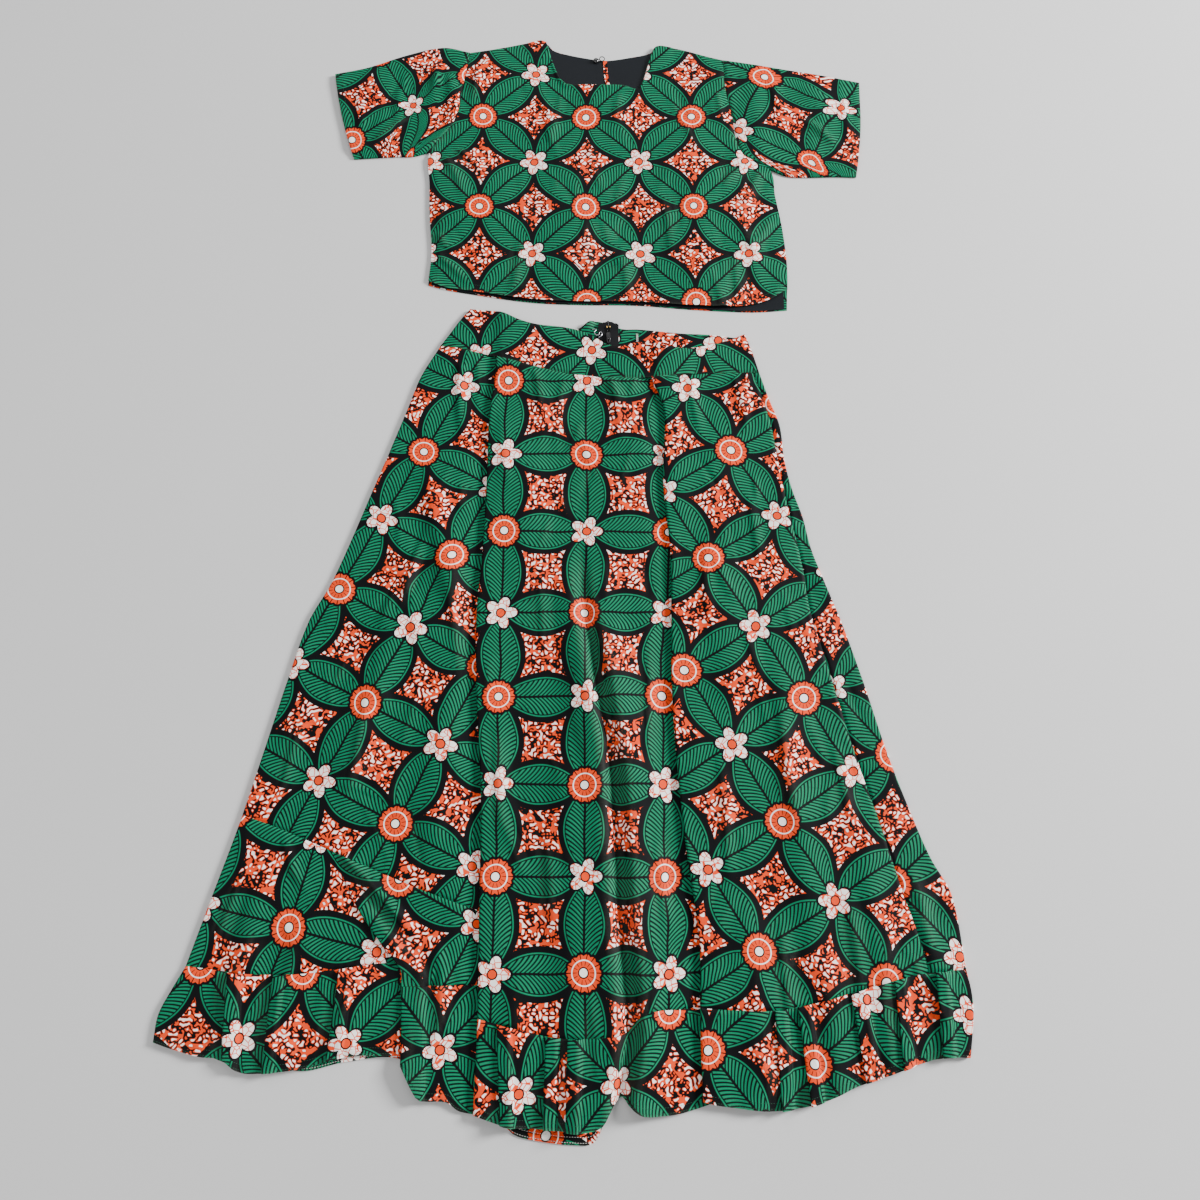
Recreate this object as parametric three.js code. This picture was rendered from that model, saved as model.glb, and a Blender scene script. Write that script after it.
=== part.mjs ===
import * as THREE from "three";

// A crop top and a long flared skirt of printed cotton, laid flat: millimetres, +Z up.
// Places in the tables are across (to the right) and up (towards the neck), on the
// surface, from a point in the middle of the skirt. The whole is centred at the end.

// Sizes that all pieces share
const wall = 1.2; // thickness of one layer of cloth
const thinWall = 1; // thickness of linings and tapes
const seam = 0.3; // space between two pieces at a seam
const halfSeam = seam / 2;
const floorLayer = wall / 2; // middle height of a layer that lies on the surface
const liningLayer = wall + seam + thinWall / 2; // middle height of what lies on that layer
const underLayer = 2.2; // middle height of an edge that passes under its neighbour
const legLayer = 3.8; // middle height of an edge that is rolled under, on that edge
const edgeLayer = 3.4; // middle height of the top's upper layer at its side seams
const roll = 2.2; // middle radius of a rolled edge
const rollReach = roll + wall / 2; // from an outline to where its roll ends
const loft = floorLayer + 2 * roll; // usual middle height of the upper layer
const leg = 12; // width that a rolled edge turns under
const tuck = 20; // width that an edge passes under its neighbour
const besideFold = 36; // width of the slope down to an edge that passes under
const besideRoll = 60; // width of the slope down from a rolled edge
const layerStep = 2; // middle distance of two layers in a pleat
const valleyFloor = 2.6; // lowest middle height of the front in its deep valley
const bank = 30; // from the deep valley to the outer foot of its banks
const backGap = 3; // space between a rolled edge and the back panel beside it
const columnStep = 15; // widest spacing of the columns of a ruffle

// Colours
const printGreen = 0x1c7a55;
const printOrange = 0xd9623a;
const liningSlate = 0x262a30;
const black = 0x111113;
const steel = 0xb8bcc0;

const lerp = THREE.MathUtils.lerp;
const rise = THREE.MathUtils.smoothstep;
const plan = ["across", "up"];

// Rows of a table as objects with named columns
function table(names, rows) {
  return rows.map((row) => Object.fromEntries(names.map((name, i) => [name, row[i]])));
}

// Sides and seams of the skirt, from the waist down
const skirtLeftSide = table(plan, [
  [-227, 373], [-252, 326], [-269, 275], [-293, 204], [-314, 144], [-336, 80], [-358, 22],
  [-384, -30], [-406, -110], [-429, -203], [-452, -293], [-478, -382], [-500, -458],
]);
const skirtRightSide = table(plan, [
  [225, 331], [237, 290], [250, 250], [254, 200], [262, 158], [275, 115], [284, 70], [300, 22],
  [318, -30], [341, -108], [366, -203], [391, -281], [410, -332], [432, -376], [442, -462],
]);
const sidePanelSeam = table(plan, [
  [216, 331], [228, 290], [238, 250], [245, 194], [256, 125], [271, 43], [279, -22],
  [295, -85], [324, -201], [343, -266], [372, -372], [391, -437], [396, -465],
]);
const ruffleLeftSide = table(plan, [[-500, -458], [-514, -484], [-527, -512], [-530, -543]]);
const ruffleRightSide = table(plan, [[442, -462], [446, -488], [446, -512], [438, -560]]);
const waistSeam = table(plan, [
  [-228, 373], [-200, 369], [-169, 361], [-115, 347], [-57, 332], [0, 325], [60, 323],
  [112, 327], [160, 331], [226, 331],
]);
const joinSeam = table(plan, [
  [-450, -279], [-403, -295], [-332, -324], [-288, -342], [-229, -366], [-147, -395],
  [-120, -404],
]);

// Large folds of the skirt, from the waist seam to the hem: the left and right ones are
// edges that lie over their neighbours, and the centre one is a deep valley
const leftFold = table(plan, [
  [-147, 326], [-154, 270], [-155, 173], [-158, 56], [-163, -16], [-160, -121], [-150, -256],
  [-148, -382], [-146, -517], [-147, -577], [-148, -621],
]);
const rightFold = table(plan, [
  [71, 325], [89, 270], [86, 168], [94, 58], [93, -134], [104, -298], [120, -429],
  [119, -505], [119, -560], [120, -607],
]);
const centreFold = table(plan, [
  [-20, 325], [-25, 46], [-3, -98], [17, -215], [28, -416], [37, -535], [25, -605],
]);
const lowerFold = table(plan, [
  [-333, -325], [-299, -376], [-266, -414], [-240, -446], [-238, -470], [-236, -510],
  [-234, -570],
]);

// Ruffle seams and hems of the front, and of the back
const leftRuffleSeam = table(plan, [
  [-500, -458], [-475, -461], [-442, -465], [-404, -468], [-349, -466], [-312, -461],
  [-275, -456], [-238, -453],
]);
const foldedRuffleSeam = table(plan, [[-234, -481], [-181, -480], [-148, -480], [-120, -481]]);
const centreRuffleSeam = table(plan, [
  [-146, -517], [-96, -529], [-55, -538], [-4, -538], [33, -532], [45, -518], [63, -509],
  [95, -507], [142, -505],
]);
const rightRuffleSeam = table(plan, [
  [119, -505], [168, -508], [208, -508], [253, -501], [288, -492], [336, -479], [376, -469],
  [410, -464], [442, -462],
]);
const leftHem = table(plan, [
  [-530, -543], [-497, -553], [-470, -559], [-445, -562], [-425, -575], [-400, -577],
  [-345, -571], [-319, -563], [-287, -558], [-240, -558],
]);
const foldedHem = table(plan, [
  [-234, -568], [-221, -592], [-211, -605], [-179, -608], [-166, -617], [-148, -621],
  [-120, -625],
]);
const centreHem = table(plan, [
  [-148, -621], [-108, -633], [-66, -636], [-23, -639], [3, -632], [14, -614], [25, -602],
  [34, -611], [49, -621], [77, -622], [103, -618], [142, -606],
]);
const rightHem = table(plan, [
  [119, -607], [140, -611], [206, -617], [254, -610], [295, -593], [333, -581], [366, -570],
  [405, -560], [438, -560],
]);
const backRuffleSeam = table(plan, [[-485, -462], [12, -545], [428, -468]]);
const backHem = table(plan, [
  [-514, -540], [-400, -566], [-350, -575], [-300, -565], [-236, -562], [-205, -590],
  [-150, -612], [-115, -630], [-100, -643], [-70, -650], [-29, -654], [-6, -651], [4, -632],
  [13, -611], [25, -596], [60, -612], [121, -600], [222, -607], [312, -578], [424, -553],
]);

// Waistband: its ends, its front upper edge, and the back halves that show behind it
const bandLeftEnd = table(plan, [[-187, 431], [-201, 413], [-213, 394], [-227, 373]]);
const bandRightEnd = table(plan, [[207, 391], [216, 364], [225, 331]]);
const bandFrontTop = table(plan, [
  [-187, 431], [-144, 426], [-115, 413], [-89, 406], [-45, 400], [-14, 390], [8, 375],
  [26, 372], [57, 376], [111, 367], [135, 368], [171, 377], [207, 391],
]);
const bandBackTop = table(plan, [
  [-176, 427], [-115, 410], [-50, 400], [-30, 401], [-14, 411], [0, 412], [30, 401], [57, 400],
  [112, 394], [163, 391], [195, 386],
]);
const bandBackFoot = table(plan, [[-214, 366], [12, 338], [210, 326]]);
const bandCurl = { from: -45, peak: -16, to: -5, foot: 392, top: 411, height: 6 };
const centreBack = 12; // where the back halves and the zip tapes meet
const waistFolds = { left: -147, centre: -20, right: 71 }; // large folds at the waist seam
const hemFolds = { left: -147, centre: 28, right: 119 }; // and at the ruffle
const lowerFoldMeets = -470; // where the left panel's own fold meets the ruffle

// Soft folds: a row for each, from its top to its foot. The bow moves its middle to the
// right, and a fold with a negative height is a valley.
const foldColumns = ["topAcross", "topUp", "footAcross", "footUp", "bow", "height",
  "leftWidth", "rightWidth", "topFade", "footFade"];
const skirtFolds = table(foldColumns, [
  [-236, 200, -176, -60, -6, 5, 16, 22, 0.3, 0.4],
  [-262, 60, -330, -300, 6, 3.5, 26, 20, 0.4, 0.4],
  [-205, -60, -212, -400, 4, 3, 22, 26, 0.4, 0.4],
  [-412, -290, -452, -562, 3, 4, 16, 20, 0.4, 0.1],
  [-350, -360, -380, -575, -4, 3.5, 18, 18, 0.4, 0.1],
  [-290, -440, -300, -560, 0, 3, 14, 14, 0.3, 0.1],
  [-100, 300, -112, -120, 5, 2.5, 22, 26, 0.3, 0.4],
  [-53, -150, -31, -560, 6, 4.5, 20, 22, 0.3, 0.2],
  [-30, -500, -28, -660, 0, 4.5, 16, 18, 0.5, 0.1],
  [-100, -420, -104, -660, 3, 3, 14, 16, 0.4, 0.1],
  [160, 300, 178, -300, -8, 3, 26, 30, 0.3, 0.4],
  [214, 60, 262, -500, 6, 3.5, 22, 26, 0.4, 0.1],
  [172, -300, 186, -650, 4, 3.5, 20, 22, 0.4, 0.1],
  [270, -430, 284, -630, 0, 4, 16, 18, 0.3, 0.1],
  [330, -260, 352, -610, -4, 3.5, 18, 20, 0.4, 0.1],
  [408, -400, 414, -600, 0, 2.5, 12, 14, 0.3, 0.1],
]);
const bandFolds = table(foldColumns, [
  [-138, 470, -138, 240, 0, 3.2, 10, 34, 0.1, 0.1],
  [84, 470, 84, 240, 0, 3.2, 12, 34, 0.1, 0.1],
  [70, 470, 70, 318, 0, 5, 80, 80, 0.1, 0.5],
]);
const topFolds = table(foldColumns, [
  [-150, 700, -170, 470, 4, 3, 26, 30, 0.4, 0.2],
  [-60, 760, -40, 450, -6, 2, 34, 40, 0.4, 0.2],
  [118, 720, 150, 440, 4, 3, 28, 30, 0.4, 0.2],
  [205, 660, 232, 450, 0, 2.5, 18, 16, 0.3, 0.2],
  [-238, 850, -226, 735, 8, 5, 9, 12, 0.3, 0.3],
  [-262, 872, -272, 700, 0, 3, 20, 24, 0.3, 0.3],
  [-345, 845, -330, 700, 4, 2.5, 22, 24, 0.3, 0.3],
  [232, 850, 236, 680, 4, 3.5, 16, 20, 0.3, 0.3],
  [318, 835, 350, 690, 6, 3, 22, 24, 0.3, 0.3],
]);

// The valley of the centre fold and its two banks: offset from the fold, and height
const valleySection = table(["offset", "height", "leftWidth", "rightWidth"], [
  [-20, 7, 28, 14], [0, -5, 8, 8], [21, 7.5, 13, 26],
]);
const valleyFrom = 110; // height up the skirt where the valley begins
const valleyFull = -120; // and where it has its full depth

// Small knife pleats of the ruffle: places at the seam and at the hem, and width
const pleatColumns = ["atSeam", "atHem", "width"];
const leftPleats = table(pleatColumns, [[-446, -444, 8], [-392, -396, 5], [-313, -322, 9]]);
const centrePleats = table(pleatColumns, [[-122, -116, 8], [-64, -66, 7], [-38, -40, 8]]);
const rightPleats = table(pleatColumns, [
  [208, 212, 6], [236, 246, 7], [300, 312, 9], [352, 356, 6], [402, 404, 7],
]);
const lowerFoldWidth = 20; // overlap of the left panel's own fold

// Crop top
const topLeftEdge = table(plan, [
  [-201, 878], [-207, 835], [-212, 800], [-215, 770], [-226, 742], [-256, 698], [-254, 640],
  [-251, 580], [-246, 525], [-249, 472],
]);
const topRightEdge = table(plan, [
  [190, 864], [193, 803], [200, 765], [205, 722], [218, 690], [253, 668], [260, 620],
  [268, 563], [272, 500], [269, 431],
]);
const frontNeck = table(plan, [
  [-201, 878], [-172, 883], [-143, 889], [-111, 896], [-84, 898], [-78, 876], [-70, 850],
  [-61, 830], [-50, 820], [-20, 819], [14, 819], [38, 817], [58, 811], [66, 824], [73, 850],
  [80, 876], [86, 889], [106, 888], [135, 881], [162, 872], [190, 864],
]);
const backNeck = table(plan, [
  [-201, 878], [-143, 889], [-111, 896], [-84, 898], [-73, 885], [-48, 876], [-12, 868],
  [6, 865], [50, 872], [79, 880], [86, 889], [106, 888], [135, 881], [190, 864],
]);
const frontTopHem = table(plan, [
  [-249, 478], [-226, 468], [-184, 461], [-101, 448], [-29, 444], [53, 443], [137, 437],
  [200, 436], [240, 445], [269, 463],
]);
const backTopHem = table(plan, [
  [-249, 472], [-226, 465], [-184, 457], [-101, 444], [-29, 440], [53, 439], [137, 432],
  [219, 428], [269, 431],
]);
const slitLine = table(plan, [[6, 865], [8, 835], [12, 805], [12, 432]]);
const slit = { open: 0.9, foot: 820, closed: 770 }; // half width, and where it closes
const slitEdge = { width: 3.4, thickness: 0.8 };
const shoulderSlope = { width: 0.07, neckLeft: -104, neckRight: 104, run: 14 };
const sideSlope = { width: 16, top: 690, foot: 650 }; // side seams, below the armpits
const liningReach = { foot: 792, inset: 1.5, left: -84, right: 88, hemLeft: -244,
  hemRight: 265, underFront: 12 };
const armholeParts = [0, 0.08, 0.2, 0.34, 0.47, 0.6, 0.72, 0.83, 0.94, 1]; // down an armhole
const armholeShare = 0.45; // part of the top's rows beside the armholes
const extraColumns = [0.03, 0.2, 0.43, 0.52, 0.97]; // between the knots of the front neck

// Sleeves: upper edge from the shoulder, lower edge from the armpit to the cuff
const sleeveColumns = ["part", "upperAcross", "upperUp", "lowerAcross", "lowerUp"];
const leftSleeve = table(sleeveColumns, [
  [0, -201, 878, -256, 698], [0.2, -243, 887, -279, 691], [0.45, -298, 873, -308, 690],
  [0.75, -358, 850, -340, 688], [1, -408, 838, -370, 686],
]);
const rightSleeve = table(sleeveColumns, [
  [0, 190, 864, 253, 668], [0.2, 230, 857, 278, 656], [0.45, 280, 847, 311, 654],
  [0.75, 342, 835, 350, 655], [1, 398, 822, 383, 654],
]);
const armholeGap = 0.5; // across, between a sleeve and the body
const cuffBow = 4; // how far a cuff curves outwards
const lowTurn = 1.1; // middle radius of the turn at a sleeve's lower edge

// Small hard pieces
const zip = { tape: 14.5, gap: 0.4, top: 411, foot: 205, lift: 4, liftedLength: 16 };
const slider = { width: 7, length: 12, height: 2.6, up: 386 };
const hookWire = { radius: 0.6, height: 3.5 };
const hookRoute = table(plan, [[-11, 399], [-6, 399], [-8, 394], [-3, 390], [1, 395], [3, 391],
  [-2, 386]]);
const button = { across: -6, up: 863, radius: 4.4, height: 4.2 };
const loopCord = { across: 3, up: 866, radius: 4, cord: 0.7, lift: 1.6 };

// Value of one column of a table at a place along another, on a smooth curve
function valueAt(rows, key, name, place) {
  const last = rows.length - 1;
  const forward = Math.sign(rows[last][key] - rows[0][key]);
  let i = 0;
  while (i < last - 1 && (place - rows[i + 1][key]) * forward > 0) i += 1;
  const slope = (k) => {
    const a = rows[Math.max(0, k - 1)];
    const b = rows[Math.min(last, k + 1)];
    return (b[name] - a[name]) / (b[key] - a[key]);
  };
  const from = rows[i];
  const to = rows[i + 1];
  const span = to[key] - from[key];
  const s = THREE.MathUtils.clamp((place - from[key]) / span, 0, 1);
  const start = (from[name] * (1 + 2 * s) + slope(i) * span * s) * (1 - s) ** 2;
  return start + (to[name] * (3 - 2 * s) + slope(i + 1) * span * (s - 1)) * s ** 2;
}
const acrossAt = (rows, up) => valueAt(rows, "up", "across", up);
const upAt = (rows, shift = 0) => (x) => valueAt(rows, "across", "up", x) + shift;
const straight = ([from, to], shift = 0) => (x) =>
  shift + lerp(from.up, to.up, (x - from.across) / (to.across - from.across));
const even = (count, from = 0, to = 1) =>
  Array.from({ length: count }, (_, i) => lerp(from, to, i / (count - 1)));

// Sum of the soft folds at a place
function foldHeight(folds, x, y) {
  return folds.reduce((sum, fold) => {
    const part = (fold.topUp - y) / (fold.topUp - fold.footUp);
    if (part <= 0 || part >= 1) return sum;
    const middle = lerp(fold.topAcross, fold.footAcross, part) + fold.bow * Math.sin(Math.PI * part);
    const width = x < middle ? fold.leftWidth : fold.rightWidth;
    const fade = rise(part, 0, fold.topFade) * rise(1 - part, 0, fold.footFade);
    return sum + fold.height * fade * Math.exp(-(((x - middle) / width) ** 2));
  }, 0);
}

// Middle height of the skirt's upper layer, with the valley of the centre fold
function skirtHeight(x, y) {
  const depth = 1 - rise(y, valleyFull, valleyFrom);
  const fromFold = x - acrossAt(centreFold, y);
  const valley = valleySection.reduce((sum, bank) => {
    const width = fromFold < bank.offset ? bank.leftWidth : bank.rightWidth;
    return sum + bank.height * Math.exp(-(((fromFold - bank.offset) / width) ** 2));
  }, 0);
  return Math.max(loft + foldHeight(skirtFolds, x, y) + depth * valley, valleyFloor);
}

// The same beside an edge that passes under a fold, and beside one that is rolled under
const sinkTo = (fold, height) => (x, y) => {
  const edge = acrossAt(fold, y);
  return lerp(height(x, y), underLayer, rise(x, edge - besideFold + 2, edge - 4));
};
const liftFrom = (fold, height) => (x, y) => {
  const edge = acrossAt(fold, y);
  const lift = legLayer + 2 * roll - loft;
  return height(x, y) + lift * (1 - rise(x, edge + leg, edge + besideRoll));
};
const leftHeight = sinkTo(leftFold, skirtHeight);
const centreHeight = liftFrom(leftFold, sinkTo(rightFold, skirtHeight));
const rightHeight = liftFrom(rightFold, skirtHeight);

// A line down a piece, for a part from 0 at its top to 1 at its foot
function line(rows, top, foot) {
  return (t) => {
    const y = lerp(top, foot, t);
    return { x: acrossAt(rows, y), y };
  };
}
const beside = (path, shift) => (t) => ({ x: path(t).x + shift, y: path(t).y });
const vertical = (x, top, foot) => (t) => ({ x, y: lerp(top, foot, t) });
const growing = (width) => (t) => lerp(width / 4, width, rise(t, 0, 0.2));

// A line moved up or down to start and end on two seams
function fitted(path, topUp, footUp) {
  const shift = [topUp(path(0).x) - path(0).y, footUp(path(1).x) - path(1).y];
  return (t) => ({ x: path(t).x, y: path(t).y + lerp(shift[0], shift[1], t) });
}

// Columns of a piece between two lines, with its top and foot on two seams
function spread(left, right, parts, topUp, footUp, height) {
  return parts.map((u) => {
    const between = (t) => ({
      x: lerp(left(t).x, right(t).x, u),
      y: lerp(left(t).y, right(t).y, u),
    });
    const column = fitted(between, topUp, footUp);
    return (t) => {
      const { x, y } = column(t);
      return new THREE.Vector3(x, y, height(x, y, t));
    };
  });
}

// Columns of an edge rolled under: side is -1 at a left edge and 1 at a right one
function rolledEdge(path, side, low, width, topUp, footUp) {
  const turn = [0, 45, 90, 135].map((angle) => THREE.MathUtils.degToRad(angle));
  const section = [
    { inward: (t) => roll + width(t), z: low },
    ...turn.map((a) => ({
      inward: () => roll * (1 - Math.sin(a)),
      z: low + roll * (1 - Math.cos(a)),
    })),
  ];
  const columns = section.map(({ inward, z }) => {
    const inner = (t) => ({ x: path(t).x - side * (inward(t) + wall / 2), y: path(t).y });
    const column = fitted(inner, topUp, footUp);
    return (t) => new THREE.Vector3(column(t).x, column(t).y, z);
  });
  return side < 0 ? columns : columns.reverse();
}

// Columns of a pleat folded over the cloth at its right: the section gives offsets from
// the pleat's line, flat and folded, the layer from 0 below to 2 above, and whether a
// column is beyond the fold, where its seams may step down
function pleat(across, width, folded, topUp, footUp, height) {
  const turn = 1.6;
  const section = table(["flat", "folded", "layer", "beyond"], [
    [-7, width - turn, 0, 0], [-4.5, width, 0.5, 0], [-2, width - turn, 1, 0],
    [0.5, turn, 1, 1], [3, 0, 1.5, 1], [5.5, turn, 2, 1], [8, width + 3 * turn, 2, 1],
  ]);
  return section.map((row) => (t) => {
    const amount = folded(t);
    const x = across(t) + lerp(row.flat, row.folded, amount);
    const y = lerp(topUp(x, row.beyond), footUp(x, row.beyond), t);
    const z = height(across(t) + row.flat, y) + row.layer * layerStep * Math.min(1, 3 * amount);
    return new THREE.Vector3(x, y, z);
  });
}

// Columns between two lines with small pleats in their places
function pleated(left, right, pleats, topUp, footUp, height) {
  const columns = [];
  const stretch = (from, to) => {
    const widest = Math.max(to(0).x - from(0).x, to(1).x - from(1).x);
    columns.push(
      ...spread(from, to, even(2 + Math.ceil(widest / columnStep)), topUp, footUp, height));
  };
  let from = left;
  pleats.forEach(({ atSeam, atHem, width }) => {
    const across = (t) => lerp(atSeam, atHem, t);
    const at = (shift) => (t) => ({ x: across(t) + shift, y: t });
    stretch(from, at(-11));
    columns.push(...pleat(across, width, () => 1, topUp, footUp, height));
    from = at(width + 11);
  });
  stretch(from, right);
  return columns;
}

// Closed wall from rows of middle points, moved out by half the wall both ways along
// the grid's own normals. A ring's last column meets its first.
function wallFromGrid(grid, thickness, ring) {
  const rows = grid.length;
  const cols = grid[0].length;
  const lastRow = rows - 1;
  const positions = [];
  grid.forEach((row, i) => row.forEach((point, j) => {
    const next = ring ? (j + 1) % cols : Math.min(cols - 1, j + 1);
    const previous = ring ? (j + cols - 1) % cols : Math.max(0, j - 1);
    const down = grid[Math.min(lastRow, i + 1)][j].clone().sub(grid[Math.max(0, i - 1)][j]);
    const along = row[next].clone().sub(row[previous]);
    const normal = down.cross(along).normalize();
    [0.5, -0.5].forEach((side) => {
      positions.push(...point.clone().addScaledVector(normal, side * thickness).toArray());
    });
  }));
  const index = [];
  const corner = (i, j, side) => (i * cols + (j % cols)) * 2 + side;
  const quad = (a, b, c, d) => index.push(a, b, c, a, c, d);
  const across = ring ? cols : cols - 1;
  for (let j = 0; j < across; j += 1) {
    for (let i = 0; i < lastRow; i += 1) {
      quad(corner(i, j, 0), corner(i + 1, j, 0), corner(i + 1, j + 1, 0), corner(i, j + 1, 0));
      quad(corner(i, j, 1), corner(i, j + 1, 1), corner(i + 1, j + 1, 1), corner(i + 1, j, 1));
    }
    quad(corner(0, j, 0), corner(0, j + 1, 0), corner(0, j + 1, 1), corner(0, j, 1));
    quad(corner(lastRow, j + 1, 0), corner(lastRow, j, 0), corner(lastRow, j, 1),
      corner(lastRow, j + 1, 1));
  }
  for (let i = 0; i < lastRow && !ring; i += 1) {
    const end = cols - 1;
    quad(corner(i + 1, 0, 0), corner(i, 0, 0), corner(i, 0, 1), corner(i + 1, 0, 1));
    quad(corner(i, end, 0), corner(i + 1, end, 0), corner(i + 1, end, 1), corner(i, end, 1));
  }
  const geometry = new THREE.BufferGeometry();
  geometry.setAttribute("position", new THREE.Float32BufferAttribute(positions, 3));
  geometry.setIndex(index);
  return geometry;
}

const set = new THREE.Group();

function addPiece(name, geometry, color, roughness = 0.85, metalness = 0) {
  const material = new THREE.MeshStandardMaterial({ color, roughness, metalness });
  const mesh = new THREE.Mesh(geometry, material);
  mesh.name = name;
  set.add(mesh);
  return mesh;
}

// A piece of cloth from its columns, at given parts down
function addCloth(name, columns, parts, { color = printGreen, thickness = wall, ring = false } = {}) {
  const grid = parts.map((t) => columns.map((column) => column(t)));
  return addPiece(name, wallFromGrid(grid, thickness, ring), color);
}

const flat = () => floorLayer;
const fullLeg = () => leg;
const bodyRows = even(13);
const lowerRows = even(8);
const ruffleRows = even(5);

function addFrontLeft() {
  const waist = upAt(waistSeam, -halfSeam);
  const join = upAt(joinSeam, halfSeam);
  const side = line(skirtLeftSide, waistSeam[0].up, joinSeam[0].up);
  const fold = line(leftFold, waist(waistFolds.left), join(waistFolds.left));
  const under = (t) => beside(fold, growing(tuck)(t))(t);
  addCloth("frontLeft", [
    ...rolledEdge(side, -1, floorLayer, fullLeg, waist, join),
    ...spread(beside(side, rollReach), beside(fold, -besideFold), even(11), waist, join, leftHeight),
    ...spread(beside(fold, -besideFold), under, even(5).slice(1), waist, join, leftHeight),
  ], bodyRows);
}

// The piece joined on below the left panel, with a fold of its own that grows downwards
function addFrontLeftLower() {
  const join = upAt(joinSeam, -halfSeam);
  const foot = upAt(leftRuffleSeam, halfSeam);
  const foldedFoot = upAt(foldedRuffleSeam, halfSeam);
  const side = line(skirtLeftSide, joinSeam[0].up, leftRuffleSeam[0].up);
  const ownFold = line(lowerFold, lowerFold[0].up, lowerFoldMeets);
  const fold = line(leftFold, join(hemFolds.left), foldedFoot(hemFolds.left));
  const stepFoot = (x, beyond) => (beyond ? foldedFoot(x) : foot(x));
  const growth = (t) => rise(t, 0.05, 0.9);
  addCloth("frontLeftLower", [
    ...rolledEdge(side, -1, floorLayer, fullLeg, join, foot),
    ...spread(beside(side, rollReach), beside(ownFold, -14), even(11), join, foot, leftHeight),
    ...pleat((t) => ownFold(t).x, lowerFoldWidth, growth, join, stepFoot, leftHeight),
    ...spread(beside(ownFold, lowerFoldWidth + 24), beside(fold, -besideFold), even(5), join,
      foldedFoot, leftHeight),
    ...spread(beside(fold, -besideFold), beside(fold, tuck), even(5).slice(1), join, foldedFoot,
      leftHeight),
  ], lowerRows);
}

function addRuffleLeft() {
  const top = upAt(leftRuffleSeam, -halfSeam);
  const foldedTop = upAt(foldedRuffleSeam, -halfSeam);
  const hem = upAt(leftHem);
  const lowHem = upAt(foldedHem);
  const side = line(ruffleLeftSide, ruffleLeftSide[0].up, leftHem[0].up);
  const ownFold = line(lowerFold, lowerFoldMeets, lowerFold.at(-1).up);
  const fold = line(leftFold, foldedTop(hemFolds.left), lowHem(hemFolds.left));
  const stepTop = (x, beyond) => (beyond ? foldedTop(x) : top(x) - seam);
  const stepHem = (x, beyond) => (beyond ? lowHem(x) : hem(x));
  addCloth("ruffleLeft", [
    ...rolledEdge(side, -1, floorLayer, fullLeg, top, hem),
    ...pleated(beside(side, rollReach), beside(ownFold, -14), leftPleats, top, hem, leftHeight),
    ...pleat((t) => ownFold(t).x, lowerFoldWidth, () => 1, stepTop, stepHem, leftHeight),
    ...spread(beside(ownFold, lowerFoldWidth + 18), beside(fold, -besideFold), even(3), foldedTop,
      lowHem, leftHeight),
    ...spread(beside(fold, -besideFold), beside(fold, tuck), even(5).slice(1), foldedTop, lowHem,
      leftHeight),
  ], ruffleRows);
}

function addFrontCentre() {
  const waist = upAt(waistSeam, -halfSeam);
  const foot = upAt(centreRuffleSeam, halfSeam);
  const leftEdge = line(leftFold, waist(waistFolds.left), foot(hemFolds.left));
  const valley = line(centreFold, waist(waistFolds.centre), foot(hemFolds.centre));
  const rightEdge = line(rightFold, waist(waistFolds.right), foot(hemFolds.right));
  const under = (t) => beside(rightEdge, growing(tuck)(t))(t);
  const stretch = (from, to, count) => spread(from, to, even(count), waist, foot, centreHeight);
  addCloth("frontCentre", [
    ...rolledEdge(leftEdge, -1, legLayer, growing(leg), waist, foot),
    ...stretch(beside(leftEdge, rollReach), beside(leftEdge, besideRoll), 4),
    ...stretch(beside(leftEdge, besideRoll), beside(valley, -bank), 4).slice(1),
    ...stretch(beside(valley, -bank), beside(valley, bank), 9).slice(1),
    ...stretch(beside(valley, bank), beside(rightEdge, -besideFold), 3).slice(1),
    ...stretch(beside(rightEdge, -besideFold), under, 5).slice(1),
  ], bodyRows);
}

function addRuffleCentre() {
  const top = upAt(centreRuffleSeam, -halfSeam);
  const hem = upAt(centreHem);
  const leftEdge = line(leftFold, top(hemFolds.left), hem(hemFolds.left));
  const valley = line(centreFold, top(hemFolds.centre), hem(hemFolds.centre));
  const rightEdge = line(rightFold, top(hemFolds.right), hem(hemFolds.right));
  const stretch = (from, to, count) => spread(from, to, even(count), top, hem, centreHeight);
  addCloth("ruffleCentre", [
    ...rolledEdge(leftEdge, -1, legLayer, fullLeg, top, hem),
    ...pleated(beside(leftEdge, rollReach), beside(valley, -bank), centrePleats, top, hem,
      centreHeight),
    ...stretch(beside(valley, -bank), beside(valley, bank), 9).slice(1),
    ...stretch(beside(valley, bank), beside(rightEdge, -besideFold), 3).slice(1),
    ...stretch(beside(rightEdge, -besideFold), beside(rightEdge, tuck), 5).slice(1),
  ], ruffleRows);
}

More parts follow.
